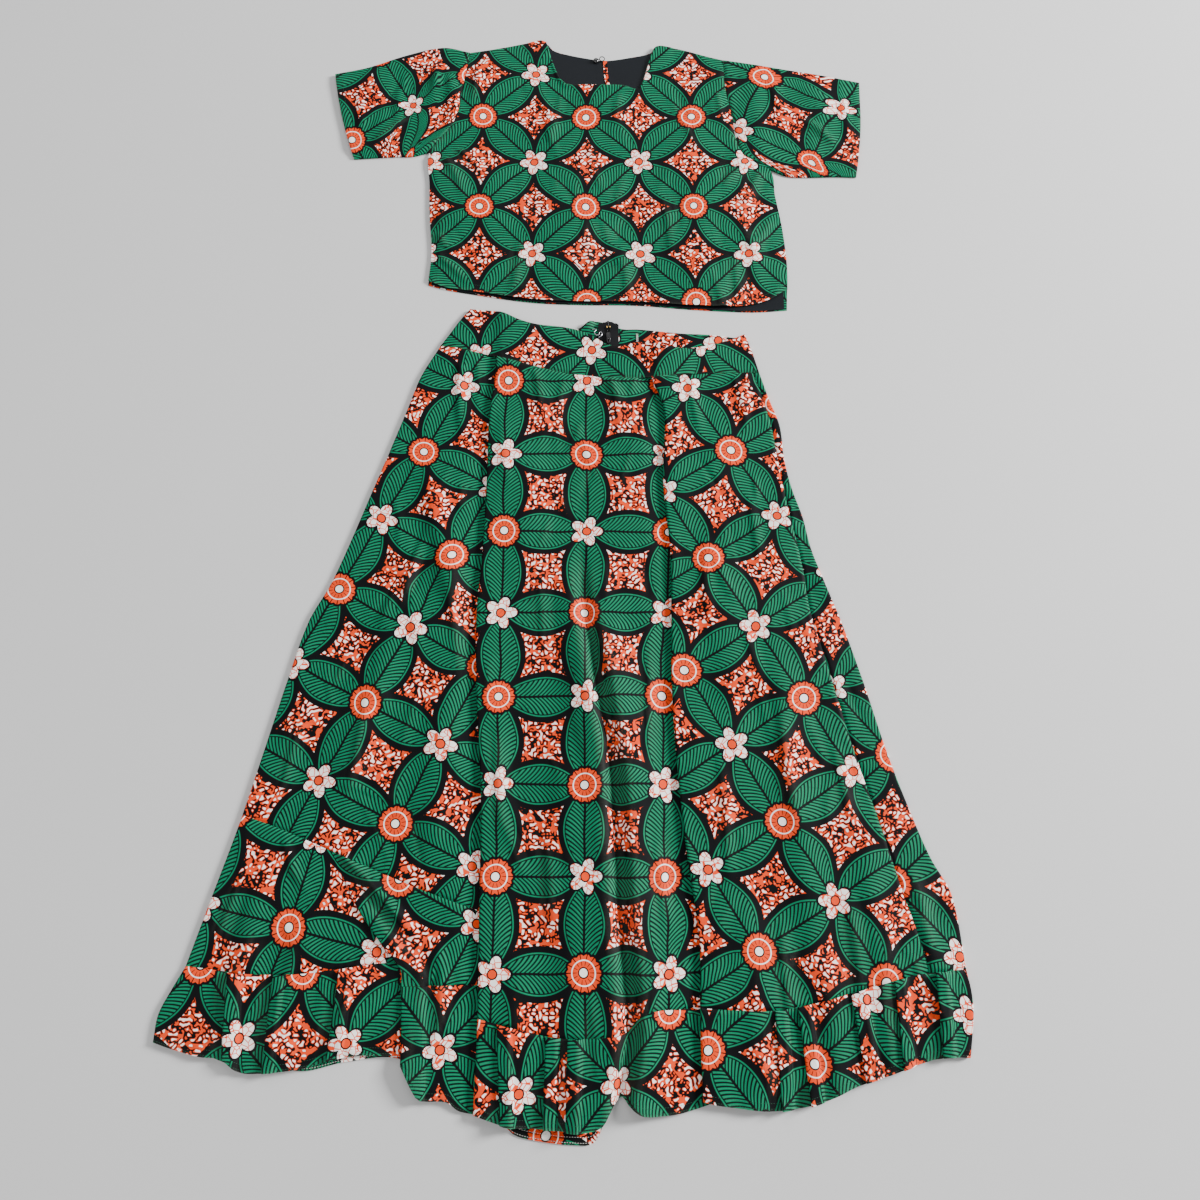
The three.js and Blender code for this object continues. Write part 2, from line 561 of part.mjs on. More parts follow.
function addRightPanels() {
  const waist = upAt(waistSeam, -halfSeam);
  const foot = upAt(rightRuffleSeam, halfSeam);
  const fold = line(rightFold, waist(waistFolds.right), foot(hemFolds.right));
  const sideSeam = line(sidePanelSeam, sidePanelSeam[0].up, sidePanelSeam.at(-1).up);
  const side = line(skirtRightSide, skirtRightSide[0].up, skirtRightSide.at(-1).up);
  const stretch = (from, to, count) => spread(from, to, even(count), waist, foot, rightHeight);
  addCloth("frontRight", [
    ...rolledEdge(fold, -1, legLayer, growing(leg), waist, foot),
    ...stretch(beside(fold, rollReach), beside(fold, besideRoll), 4),
    ...stretch(beside(fold, besideRoll), beside(sideSeam, -halfSeam), 12).slice(1),
  ], bodyRows);
  addCloth("sideRight", [
    ...stretch(beside(sideSeam, halfSeam), beside(side, -rollReach), 3),
    ...rolledEdge(side, 1, floorLayer, fullLeg, waist, foot),
  ], bodyRows);
}

function addRuffleRight() {
  const top = upAt(rightRuffleSeam, -halfSeam);
  const hem = upAt(rightHem);
  const fold = line(rightFold, top(hemFolds.right), hem(hemFolds.right));
  const side = line(ruffleRightSide, ruffleRightSide[0].up, ruffleRightSide.at(-1).up);
  addCloth("ruffleRight", [
    ...rolledEdge(fold, -1, legLayer, fullLeg, top, hem),
    ...spread(beside(fold, rollReach), beside(fold, besideRoll), even(4), top, hem, rightHeight),
    ...pleated(beside(fold, besideRoll), beside(side, -rollReach), rightPleats, top, hem,
      rightHeight).slice(1),
    ...rolledEdge(side, 1, floorLayer, fullLeg, top, hem),
  ], ruffleRows);
}

// Back of the skirt: two panels and two ruffle lengths, flat between the rolled edges,
// with rows at the same heights as the rows of those edges
function addSkirtBack() {
  const inset = rollReach + leg + backGap;
  const rowsBeside = (stretches, top, foot) => {
    const heights = stretches.flatMap(([rows, from, to]) => rows.map((t) => lerp(from, to, t)));
    const inside = heights.filter((y) => y < top - columnStep && y > foot + columnStep);
    return [0, ...inside.map((y) => (top - y) / (top - foot)), 1];
  };
  const [outerLeft, centre, outerRight] = bandBackFoot;
  const [seamLeft, seamCentre, seamRight] = backRuffleSeam;
  const hem = upAt(backHem);
  const waistUp = waistSeam[0].up;
  const addHalf = (side, panel, ruffle, sides, waistline, seamline, stretches, hemParts) => {
    const [panelSide, ruffleSide] = sides;
    const panelTop = straight(waistline, -halfSeam);
    const panelFoot = straight(seamline, halfSeam);
    const ruffleTop = straight(seamline, -halfSeam);
    const outer = side < 0 ? 0 : 1;
    const panelEdge = beside(
      line(panelSide, waistline[outer].up, seamline[outer].up), -side * inset);
    const ruffleEdge = beside(
      line(ruffleSide, seamline[outer].up, ruffleSide.at(-1).up), -side * inset);
    const middle = (top, foot) => vertical(centreBack + side * halfSeam, top, foot);
    const order = (edge, inner) => (side < 0 ? [edge, inner] : [inner, edge]);
    addCloth(panel,
      spread(...order(panelEdge, middle(centre.up, seamCentre.up)), even(4), panelTop, panelFoot,
        flat), rowsBeside(stretches, waistline[outer].up, seamline[outer].up));
    addCloth(ruffle,
      spread(...order(ruffleEdge, middle(seamCentre.up, hem(centreBack))), hemParts, ruffleTop,
        hem, flat), even(3));
  };
  addHalf(-1, "backLeft", "ruffleBackLeft", [skirtLeftSide, ruffleLeftSide],
    [outerLeft, centre], [seamLeft, seamCentre],
    [[bodyRows, waistUp, joinSeam[0].up], [lowerRows, joinSeam[0].up, leftRuffleSeam[0].up]],
    [...even(6, 0, 0.5), ...even(18, 0.56, 1)]);
  addHalf(1, "backRight", "ruffleBackRight", [skirtRightSide, ruffleRightSide],
    [centre, outerRight], [seamCentre, seamRight],
    [[bodyRows, skirtRightSide[0].up, skirtRightSide.at(-1).up]], even(13));
}

function addWaistband() {
  const foot = upAt(waistSeam, halfSeam);
  const top = upAt(bandFrontTop);
  const leftEnd = line(bandLeftEnd, bandLeftEnd[0].up, bandLeftEnd.at(-1).up);
  const rightEnd = line(bandRightEnd, bandRightEnd[0].up, bandRightEnd.at(-1).up);
  const height = (x, y) => loft + foldHeight(bandFolds, x, y);
  addCloth("bandFront", [
    ...rolledEdge(leftEnd, -1, floorLayer, fullLeg, top, foot),
    ...spread(beside(leftEnd, rollReach), beside(rightEnd, -rollReach), even(29), top, foot,
      height),
    ...rolledEdge(rightEnd, 1, floorLayer, fullLeg, top, foot),
  ], even(5));
  const inset = rollReach + leg + backGap;
  const backTop = upAt(bandBackTop);
  const [outerLeft, centre, outerRight] = bandBackFoot;
  const curl = (x, y) => {
    const across = rise(x, bandCurl.from, bandCurl.peak) * (1 - rise(x, bandCurl.peak, bandCurl.to));
    return floorLayer + bandCurl.height * across * rise(y, bandCurl.foot, bandCurl.top);
  };
  const leftInner = beside(line(bandLeftEnd, bandBackTop[0].up, outerLeft.up), inset);
  const rightInner = beside(line(bandRightEnd, bandBackTop.at(-1).up, outerRight.up), -inset);
  const middle = (side) => vertical(centreBack + side * halfSeam, backTop(centreBack), centre.up);
  addCloth("bandBackLeft",
    spread(leftInner, middle(-1), [...even(6, 0, 0.64), ...even(10, 0.7, 1)], backTop,
      straight([outerLeft, centre], halfSeam), curl), [0, 0.1, 0.2, 0.3, 0.6, 1]);
  addCloth("bandBackRight",
    spread(middle(1), rightInner, even(10), backTop, straight([centre, outerRight], halfSeam),
      flat), even(2));
}

// Zip in the centre back: two tapes on the back pieces, with the slider at the top
function addZip() {
  const height = (x, y) => liningLayer + zip.lift * rise(y, zip.top - zip.liftedLength, zip.top);
  const edge = (shift) => vertical(centreBack + shift, zip.top, zip.foot);
  const options = { color: black, thickness: thinWall };
  const rows = [...even(4, 0, zip.liftedLength / (zip.top - zip.foot)), 1];
  const inner = zip.gap / 2;
  const top = (x) => zip.top - Math.abs(x - centreBack) / 3;
  const addTape = (name, from, to) => addCloth(name,
    spread(edge(from), edge(to), even(3), top, () => zip.foot, height), rows, options);
  addTape("zipTapeLeft", -inner - zip.tape, -inner);
  addTape("zipTapeRight", inner, inner + zip.tape);
  const { width, length, height: depth, up } = slider;
  const shape = new THREE.Shape();
  shape.moveTo(-width / 2, length / 3).lineTo(-width / 3, -length / 2);
  shape.lineTo(width / 3, -length / 2).lineTo(width / 2, length / 3);
  shape.absarc(0, length / 3, width / 2, 0, Math.PI);
  const body = new THREE.ExtrudeGeometry(shape, { depth, bevelEnabled: false, curveSegments: 8 });
  const mesh = addPiece("zipSlider", body, black, 0.45, 0.6);
  mesh.position.set(centreBack, up, liningLayer + thinWall / 2 + seam);
}

function addHook() {
  const points = hookRoute.map(({ across, up }) => new THREE.Vector3(across, up, hookWire.height));
  const route = new THREE.CatmullRomCurve3(points, false, "centripetal");
  const section = new THREE.Shape().absarc(0, 0, hookWire.radius, 0, 2 * Math.PI);
  const wire = new THREE.ExtrudeGeometry(section, { extrudePath: route, steps: 20,
    curveSegments: 3, bevelEnabled: false });
  addPiece("waistHook", wire, steel, 0.3, 0.9);
}

// Middle height of the top's upper layer: lower at its shoulder and side seams
function topHeight(x, y, t) {
  const full = loft + foldHeight(topFolds, x, y);
  const { width, neckLeft, neckRight, run } = shoulderSlope;
  const onNeck = rise(x, neckLeft - run, neckLeft) * (1 - rise(x, neckRight, neckRight + run));
  const shoulder = Math.max(onNeck, rise(t, 0, width));
  const inward = Math.min(x - acrossAt(topLeftEdge, y), acrossAt(topRightEdge, y) - x);
  const side = Math.max(rise(inward, 0, sideSlope.width), rise(y, sideSlope.foot, sideSlope.top));
  return lerp(edgeLayer, full, Math.min(shoulder, side));
}

// Outer edge of the top from the shoulder by the armpit to the hem
const topSide = (rows, sleeve, hem) => (t) => {
  const { upperUp: shoulder, lowerUp: armpit } = sleeve[0];
  const y = t < armholeShare
    ? lerp(shoulder, armpit, t / armholeShare)
    : lerp(armpit, hem, (t - armholeShare) / (1 - armholeShare));
  return { x: acrossAt(rows, y), y };
};

function addTop() {
  const rows = [...armholeParts.map((part) => part * armholeShare),
    ...even(7, armholeShare, 1).slice(1)];
  const first = frontNeck[0].across;
  const reach = frontNeck.at(-1).across - first;
  const atKnots = (from, to) => ({ across }) => (across - from) / (to - from);
  const frontParts = [...frontNeck.map(atKnots(first, first + reach)), ...extraColumns]
    .sort((a, b) => a - b);
  addCloth("topFront", spread(topSide(topLeftEdge, leftSleeve, frontTopHem[0].up),
    topSide(topRightEdge, rightSleeve, frontTopHem.at(-1).up), frontParts, upAt(frontNeck),
    upAt(frontTopHem), topHeight), rows);
  const neck = upAt(backNeck);
  const hem = upAt(backTopHem);
  const opening = (side) => (t) => {
    const y = lerp(slitLine[0].up, slitLine.at(-1).up, t);
    const open = halfSeam + slit.open * rise(y, slit.closed, slit.foot);
    return { x: acrossAt(slitLine, y) + side * open, y };
  };
  const middle = slitLine[0].across;
  const leftParts = backNeck.filter(({ across }) => across <= middle).map(atKnots(first, middle));
  const rightParts = backNeck.filter(({ across }) => across >= middle)
    .map(atKnots(middle, first + reach));
  addCloth("topBackLeft", spread(topSide(topLeftEdge, leftSleeve, backTopHem[0].up), opening(-1),
    leftParts, neck, hem, flat), rows);
  addCloth("topBackRight", spread(opening(1),
    topSide(topRightEdge, rightSleeve, backTopHem.at(-1).up), rightParts, neck, hem, flat), rows);
}

// Lining where it shows: inside the back neck and along the back hem
function addTopLining() {
  const onBack = () => liningLayer;
  const options = { color: liningSlate, thickness: thinWall };
  const { foot, inset, left, right, hemLeft, hemRight, underFront } = liningReach;
  const top = upAt(backNeck, -inset);
  const onFoot = () => foot;
  const slitSide = (side) => (t) => {
    const y = lerp(slitLine[0].up, foot, t);
    return { x: acrossAt(slitLine, y) + side * (halfSeam + slit.open + seam), y };
  };
  const edge = (x) => vertical(x, top(x), foot);
  addCloth("neckLiningLeft", spread(edge(left), slitSide(-1), even(8), top, onFoot, onBack),
    even(4), options);
  addCloth("neckLiningRight", spread(slitSide(1), edge(right), even(8), top, onFoot, onBack),
    even(4), options);
  const hemEdge = (x) => vertical(x, upAt(frontTopHem)(x), upAt(backTopHem)(x));
  addCloth("hemLining", spread(hemEdge(hemLeft), hemEdge(hemRight), even(21),
    upAt(frontTopHem, underFront), upAt(backTopHem, inset), onBack), even(2), options);
  const edgeTop = top(slitLine[0].across);
  const edgeHeight = liningLayer + (thinWall + slitEdge.thickness) / 2 + seam;
  addCloth("slitEdge", spread(slitSide(1), beside(slitSide(1), slitEdge.width), even(2),
    () => edgeTop, () => foot + inset, () => edgeHeight), even(6),
  { color: printOrange, thickness: slitEdge.thickness });
}

// Point of a sleeve at a part along it, and at a part up from its lower edge
function sleevePoint(sleeve, armhole, side, part, up) {
  const corner = (place, edge) => ({
    x: valueAt(sleeve, "part", `${edge}Across`, place),
    y: valueAt(sleeve, "part", `${edge}Up`, place),
  });
  const chord = (place) => {
    const [lower, upper] = [corner(place, "lower"), corner(place, "upper")];
    return { x: lerp(lower.x, upper.x, up), y: lerp(lower.y, upper.y, up) };
  };
  const atArmhole = acrossAt(armhole, chord(0).y) + side * armholeGap - chord(0).x;
  const atCuff = side * cuffBow * Math.sin(Math.PI * up);
  return { x: chord(part).x + lerp(atArmhole, atCuff, part), y: chord(part).y };
}

// A sleeve is a flattened tube: back layer on the surface, front layer above it, which
// turns under a little above the lower edge
function addSleeve(name, sleeve, armhole, side) {
  const lowTop = floorLayer + 2 * lowTurn;
  const turn = [45, 90, 135].map((angle) => THREE.MathUtils.degToRad(angle));
  const [step, ...upper] = armholeParts.slice(1, -1).map((part) => 1 - part).reverse();
  const front = (x, y) => loft + foldHeight(topFolds, x, y);
  const ring = [
    ...turn.map((a) => ({ low: lowTurn * (1 - Math.sin(a)),
      z: () => floorLayer + lowTurn * (1 - Math.cos(a)) })),
    { low: lowTurn, z: () => lowTop },
    { up: step, z: () => lowTop },
    ...upper.map((up) => ({ up, z: front })),
    ...[0, ...turn].map((a) => ({ high: roll * (1 - Math.sin(a)),
      z: () => floorLayer + roll * (1 + Math.cos(a)) })),
    { high: roll, z: flat },
    ...[...upper].reverse().map((up) => ({ up, z: flat })),
    { up: step, z: flat },
    { low: lowTurn, z: flat },
  ];
  const columns = ring.map(({ low, high, up, z }) => (part) => {
    const lower = sleevePoint(sleeve, armhole, side, part, 0);
    const upper = sleevePoint(sleeve, armhole, side, part, 1);
    const size = Math.hypot(upper.x - lower.x, upper.y - lower.y);
    const place = up ?? (low === undefined ? 1 - high / size : low / size);
    const { x, y } = sleevePoint(sleeve, armhole, side, part, place);
    return new THREE.Vector3(x, y, z(x, y));
  });
  addCloth(name, side < 0 ? columns.reverse() : columns, even(8), { ring: true });
}

function addFastening() {
  const { across, up, radius, height } = button;
  const onLining = liningLayer + thinWall / 2 + seam;
  const profile = [[0, 0], [0.7, 0], [1, 0.4], [0.9, 0.75], [0.5, 1], [0, 1]]
    .map(([out, level]) => new THREE.Vector2(out * radius, level * height));
  const knob = addPiece("neckButton", new THREE.LatheGeometry(profile, 16), black, 0.35);
  knob.rotation.x = Math.PI / 2;
  knob.position.set(across, up, onLining);
  const cord = new THREE.TorusGeometry(loopCord.radius, loopCord.cord, 6, 16);
  const ring = addPiece("neckLoop", cord, black);
  ring.position.set(loopCord.across, loopCord.up, onLining + loopCord.lift);
}

addFrontLeft();
addFrontLeftLower();
addRuffleLeft();
addFrontCentre();
addRuffleCentre();
addRightPanels();
addRuffleRight();
addSkirtBack();
addWaistband();
addZip();
addHook();
addTop();
addTopLining();
addSleeve("sleeveLeft", leftSleeve, topLeftEdge, -1);
addSleeve("sleeveRight", rightSleeve, topRightEdge, 1);
addFastening();

const box = new THREE.Box3().setFromObject(set);
const centre = box.getCenter(new THREE.Vector3());
set.children.forEach((mesh) => {
  mesh.position.x -= centre.x;
  mesh.position.y -= centre.y;
});

export default set;
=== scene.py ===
import math

import bmesh
import bpy
import numpy as np
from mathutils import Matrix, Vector


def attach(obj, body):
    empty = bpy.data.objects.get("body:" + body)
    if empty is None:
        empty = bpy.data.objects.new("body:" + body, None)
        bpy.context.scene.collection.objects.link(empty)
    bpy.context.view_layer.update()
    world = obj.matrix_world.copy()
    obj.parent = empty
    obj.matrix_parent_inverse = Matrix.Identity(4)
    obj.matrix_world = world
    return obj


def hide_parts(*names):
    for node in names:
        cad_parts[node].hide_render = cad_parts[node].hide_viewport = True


# A crop top and a long skirt of printed cotton, laid flat on a pale floor.
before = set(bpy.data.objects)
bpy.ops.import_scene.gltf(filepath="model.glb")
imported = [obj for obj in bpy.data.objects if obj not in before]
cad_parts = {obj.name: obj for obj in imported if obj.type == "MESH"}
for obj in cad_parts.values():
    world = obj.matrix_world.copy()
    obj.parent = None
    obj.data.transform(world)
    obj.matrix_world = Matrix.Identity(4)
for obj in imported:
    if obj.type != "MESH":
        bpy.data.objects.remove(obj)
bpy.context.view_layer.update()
print("stage: frame loaded,", len(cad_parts), "nodes")


def newObject(name, data):
    made = bpy.data.objects.new(name, data)
    bpy.context.scene.collection.objects.link(made)
    return made


photoCamera = {"place": (0.04195, -0.46573, 1.283), "tilt": 15, "lens": 30, "sensor": 36}
cameraData = bpy.data.cameras.new("photoCamera")
cameraData.lens = photoCamera["lens"]
cameraData.sensor_width = photoCamera["sensor"]
camera = newObject("photoCamera", cameraData)
camera.location = photoCamera["place"]
camera.rotation_euler = (math.radians(photoCamera["tilt"]), 0, 0)
bpy.context.scene.camera = camera

# Sizes in millimetres, as in the part. Places are across and up, from the middle of the skirt.
layoutShift = np.array([41.95, -121.93, 0])
wall = 1.2  # one layer of the part's cloth, whose middle heights are kept here
seam = 0.3
halfSeam = seam / 2
thinWall = 1
floorLayer = wall / 2
liningLayer = wall + seam + thinWall / 2
underLayer = 2.2
legLayer = 3.8
edgeLayer = 3.4
roll = 2.2
rollReach = roll + wall / 2
loft = floorLayer + 2 * roll
leg = 12
tuck = 20
besideFold = 36
besideRoll = 60
layerStep = 2
valleyFloor = 2.6
bank = 30
backInset = rollReach + leg + 3  # how far a back layer stays inside the edge above it
cottonWall = 0.7  # one layer as it is drawn here
liningWall = 0.45
gridStep = 4

# Sides and seams of the skirt, from the waist down
skirtLeftSide = [
    (-227, 373), (-252, 326), (-269, 275), (-293, 204), (-314, 144), (-336, 80), (-358, 22),
    (-384, -30), (-406, -110), (-429, -203), (-452, -293), (-478, -382), (-500, -458)]
skirtRightSide = [
    (225, 331), (237, 290), (250, 250), (254, 200), (262, 158), (275, 115), (284, 70), (300, 22),
    (318, -30), (341, -108), (366, -203), (391, -281), (410, -332), (432, -376), (442, -462)]
sidePanelSeam = [
    (216, 331), (228, 290), (238, 250), (245, 194), (256, 125), (271, 43), (279, -22),
    (295, -85), (324, -201), (343, -266), (372, -372), (391, -437), (396, -465)]
ruffleLeftSide = [(-500, -458), (-514, -484), (-527, -512), (-530, -543)]
ruffleRightSide = [(442, -462), (446, -488), (446, -512), (438, -560)]
waistSeam = [
    (-228, 373), (-200, 369), (-169, 361), (-115, 347), (-57, 332), (0, 325), (60, 323),
    (112, 327), (160, 331), (226, 331)]
joinSeam = [
    (-450, -279), (-403, -295), (-332, -324), (-288, -342), (-229, -366), (-147, -395),
    (-120, -404)]

# Large folds: the left and right ones lie over their neighbours, the centre one is a valley
leftFold = [
    (-147, 326), (-154, 270), (-155, 173), (-158, 56), (-163, -16), (-160, -121), (-150, -256),
    (-148, -382), (-146, -517), (-147, -577), (-148, -621)]
rightFold = [
    (71, 325), (89, 270), (86, 168), (94, 58), (93, -134), (104, -298), (120, -429),
    (119, -505), (119, -560), (120, -607)]
centreFold = [
    (-20, 325), (-25, 46), (-3, -98), (17, -215), (28, -416), (37, -535), (25, -605)]
lowerFold = [
    (-333, -325), (-299, -376), (-266, -414), (-240, -446), (-238, -470), (-236, -510),
    (-234, -570)]

# Ruffle seams and hems of the front, and of the back
leftRuffleSeam = [
    (-500, -458), (-475, -461), (-442, -465), (-404, -468), (-349, -466), (-312, -461),
    (-275, -456), (-238, -453)]
foldedRuffleSeam = [(-234, -481), (-181, -480), (-148, -480), (-120, -481)]
centreRuffleSeam = [
    (-146, -517), (-96, -529), (-55, -538), (-4, -538), (33, -532), (45, -518), (63, -509),
    (95, -507), (142, -505)]
rightRuffleSeam = [
    (119, -505), (168, -508), (208, -508), (253, -501), (288, -492), (336, -479), (376, -469),
    (410, -464), (442, -462)]
leftHem = [
    (-530, -543), (-497, -553), (-470, -559), (-445, -562), (-425, -575), (-400, -577),
    (-345, -571), (-319, -563), (-287, -558), (-240, -558)]
foldedHem = [
    (-234, -568), (-221, -592), (-211, -605), (-179, -608), (-166, -617), (-148, -621),
    (-120, -625)]
centreHem = [
    (-148, -621), (-108, -633), (-66, -636), (-23, -639), (3, -632), (14, -614), (25, -602),
    (34, -611), (49, -621), (77, -622), (103, -618), (142, -606)]
rightHem = [
    (119, -607), (140, -611), (206, -617), (254, -610), (295, -593), (333, -581), (366, -570),
    (405, -560), (438, -560)]
backRuffleSeam = [(-485, -462), (12, -545), (428, -468)]
backHem = [
    (-514, -540), (-400, -566), (-350, -575), (-300, -565), (-236, -562), (-205, -590),
    (-150, -612), (-115, -630), (-100, -643), (-70, -650), (-29, -654), (-6, -651), (4, -632),
    (13, -611), (25, -596), (60, -612), (121, -600), (222, -607), (312, -578), (424, -553)]

# Waistband
bandLeftEnd = [(-187, 431), (-201, 413), (-213, 394), (-227, 373)]
bandRightEnd = [(207, 391), (216, 364), (225, 331)]
bandFrontTop = [
    (-187, 431), (-144, 426), (-115, 413), (-89, 406), (-45, 400), (-14, 390), (8, 375),
    (26, 372), (57, 376), (111, 367), (135, 368), (171, 377), (207, 391)]
bandBackTop = [
    (-176, 427), (-115, 410), (-50, 400), (-30, 401), (-14, 411), (0, 412), (30, 401), (57, 400),
    (112, 394), (163, 391), (195, 386)]
bandBackFoot = [(-214, 366), (12, 338), (210, 326)]
bandCurl = {"from": -45, "peak": -16, "to": -5, "foot": 392, "top": 411, "height": 6}
centreBack = 12
folds = {"left": leftFold, "centre": centreFold, "right": rightFold}
waistFolds = {"left": -147, "right": 71}  # where the folds meet the waist, and the hem
hemFolds = {"left": -147, "centre": 28, "right": 119}
lowerFoldMeets = -470

# Soft folds: top across and up, foot across and up, bow, height, left and right width, and
# the parts over which the top and the foot fade. A negative height is a valley.
skirtFolds = [
    (-236, 200, -176, -60, -6, 5, 16, 22, 0.3, 0.4),
    (-262, 60, -330, -300, 6, 3.5, 26, 20, 0.4, 0.4),
    (-205, -60, -212, -400, 4, 3, 22, 26, 0.4, 0.4),
    (-412, -290, -452, -562, 3, 4, 16, 20, 0.4, 0.1),
    (-350, -360, -380, -575, -4, 3.5, 18, 18, 0.4, 0.1),
    (-290, -440, -300, -560, 0, 3, 14, 14, 0.3, 0.1),
    (-100, 300, -112, -120, 5, 2.5, 22, 26, 0.3, 0.4),
    (-53, -150, -31, -560, 6, 4.5, 20, 22, 0.3, 0.2),
    (-30, -500, -28, -660, 0, 4.5, 16, 18, 0.5, 0.1),
    (-100, -420, -104, -660, 3, 3, 14, 16, 0.4, 0.1),
    (160, 300, 178, -300, -8, 3, 26, 30, 0.3, 0.4),
    (214, 60, 262, -500, 6, 3.5, 22, 26, 0.4, 0.1),
    (172, -300, 186, -650, 4, 3.5, 20, 22, 0.4, 0.1),
    (270, -430, 284, -630, 0, 4, 16, 18, 0.3, 0.1),
    (330, -260, 352, -610, -4, 3.5, 18, 20, 0.4, 0.1),
    (408, -400, 414, -600, 0, 2.5, 12, 14, 0.3, 0.1)]
bandFolds = [
    (-138, 470, -138, 240, 0, 3.2, 10, 34, 0.1, 0.1),
    (84, 470, 84, 240, 0, 3.2, 12, 34, 0.1, 0.1),
    (70, 470, 70, 318, 0, 5, 80, 80, 0.1, 0.5)]
topFolds = [
    (-150, 700, -170, 470, 4, 3, 26, 30, 0.4, 0.2),
    (-60, 760, -40, 450, -6, 2, 34, 40, 0.4, 0.2),
    (118, 720, 150, 440, 4, 3, 28, 30, 0.4, 0.2),
    (205, 660, 232, 450, 0, 2.5, 18, 16, 0.3, 0.2),
    (-238, 850, -226, 735, 8, 5, 9, 12, 0.3, 0.3),
    (-262, 872, -272, 700, 0, 3, 20, 24, 0.3, 0.3),
    (-345, 845, -330, 700, 4, 2.5, 22, 24, 0.3, 0.3),
    (232, 850, 236, 680, 4, 3.5, 16, 20, 0.3, 0.3),
    (318, 835, 350, 690, 6, 3, 22, 24, 0.3, 0.3)]

# Narrow creases that only this scene has, in the same columns
skirtCreases = [
    (-196, 350, -186, 210, -5, 2.2, 6, 9, 0.1, 0.6),
    (-172, 352, -170, 262, 3, 1.6, 5, 8, 0.1, 0.6),
    (-92, 338, -78, 236, 3, 1.8, 6, 8, 0.1, 0.6),
    (-48, 326, -62, 190, -4, 1.4, 6, 7, 0.1, 0.6),
    (14, 322, 30, 210, 4, 1.8, 6, 9, 0.1, 0.6),
    (128, 326, 146, 214, -4, 1.8, 6, 9, 0.1, 0.6),
    (188, 328, 204, 226, 3, 1.5, 5, 7, 0.1, 0.6),
    (-228, 110, -262, -40, -7, 2.4, 6, 9, 0.4, 0.5),
    (-204, 30, -176, -150, 5, 2.2, 7, 9, 0.4, 0.5),
    (-300, -110, -322, -290, 5, 2, 7, 8, 0.4, 0.5),
    (-372, -130, -402, -280, -4, 1.8, 6, 8, 0.4, 0.4),
    (-330, -318, -216, -440, 8, 3.6, 7, 10, 0.2, 0.4),
    (-392, -306, -356, -380, -5, 2.2, 6, 8, 0.2, 0.5),
    (-436, -330, -470, -440, 4, 2, 6, 8, 0.3, 0.3),
    (-196, -420, -190, -540, 3, 2.2, 6, 8, 0.3, 0.3),
    (-86, 80, -74, -120, 5, 1.8, 7, 8, 0.5, 0.5),
    (-128, -150, -118, -330, -4, 2, 7, 9, 0.4, 0.4),
    (-72, -260, -58, -450, 4, 2.4, 7, 10, 0.4, 0.4),
    (64, -40, 58, -240, 4, 2.2, 7, 8, 0.4, 0.5),
    (72, -280, 88, -470, -4, 2.2, 7, 9, 0.4, 0.4),
    (142, 110, 150, -80, -5, 1.8, 7, 9, 0.4, 0.5),
    (198, 170, 214, 10, 4, 1.6, 6, 8, 0.4, 0.5),
    (150, -180, 158, -380, 4, 2.2, 7, 9, 0.4, 0.4),
    (232, -120, 250, -320, -5, 2.4, 7, 10, 0.4, 0.4),
    (292, -170, 318, -330, 4, 2, 7, 8, 0.4, 0.5),
    (300, -360, 314, -500, 3, 2.4, 7, 9, 0.4, 0.2),
    (222, -390, 228, -520, -3, 2.2, 6, 9, 0.4, 0.2),
    (380, -330, 400, -460, 4, 2, 6, 8, 0.4, 0.3),
    (-346, -236, -254, -262, 4, 1.4, 8, 8, 0.4, 0.4)]
topCreases = [
    (-190, 850, -196, 776, 3, 1.8, 5, 8, 0.2, 0.5),
    (-214, 704, -168, 640, 5, 2.2, 6, 9, 0.1, 0.6),
    (-232, 690, -196, 600, 4, 1.8, 6, 8, 0.1, 0.6),
    (-244, 560, -206, 520, -4, 1.6, 6, 8, 0.2, 0.6),
    (-236, 520, -190, 470, 4, 2, 7, 8, 0.3, 0.4),
    (224, 680, 172, 620, -5, 2.4, 6, 9, 0.1, 0.6),
    (240, 664, 206, 568, -4, 2, 6, 8, 0.1, 0.6),
    (252, 580, 212, 520, 4, 1.8, 6, 8, 0.2, 0.5),
    (178, 812, 186, 734, 3, 1.6, 5, 8, 0.2, 0.5),
    (-90, 806, -70, 700, 4, 1.4, 7, 9, 0.2, 0.6),
    (34, 812, 22, 700, -4, 1.3, 7, 9, 0.2, 0.6),
    (90, 640, 104, 500, 5, 1.8, 7, 9, 0.4, 0.4),
    (-20, 600, -8, 460, -4, 1.5, 7, 9, 0.4, 0.3),
    (30, 548, 40, 448, 3, 1.6, 6, 8, 0.4, 0.2),
    (-116, 560, -126, 456, 4, 1.8, 7, 8, 0.4, 0.2),
    (196, 540, 204, 440, -3, 1.8, 6, 8, 0.4, 0.2),
    (-250, 868, -262, 780, 5, 2.6, 6, 7, 0.2, 0.5),
    (-300, 850, -306, 730, -4, 1.8, 6, 9, 0.3, 0.4),
    (-372, 820, -362, 720, 3, 1.6, 6, 8, 0.3, 0.3),
    (-285, 760, -345, 706, -4, 2, 7, 8, 0.3, 0.4),
    (262, 836, 268, 740, 4, 2, 6, 9, 0.3, 0.4),
    (300, 760, 360, 700, 4, 2.2, 7, 8, 0.3, 0.4),
    (370, 806, 380, 700, -3, 1.6, 6, 8, 0.3, 0.3)]

# The valley of the centre fold and its banks: offset, height, left and right width
valleySection = [(-17, 9.5, 28, 10), (0, -9, 6, 6), (17, 10.5, 10, 26)]
valleyFrom = 110
valleyFull = -120

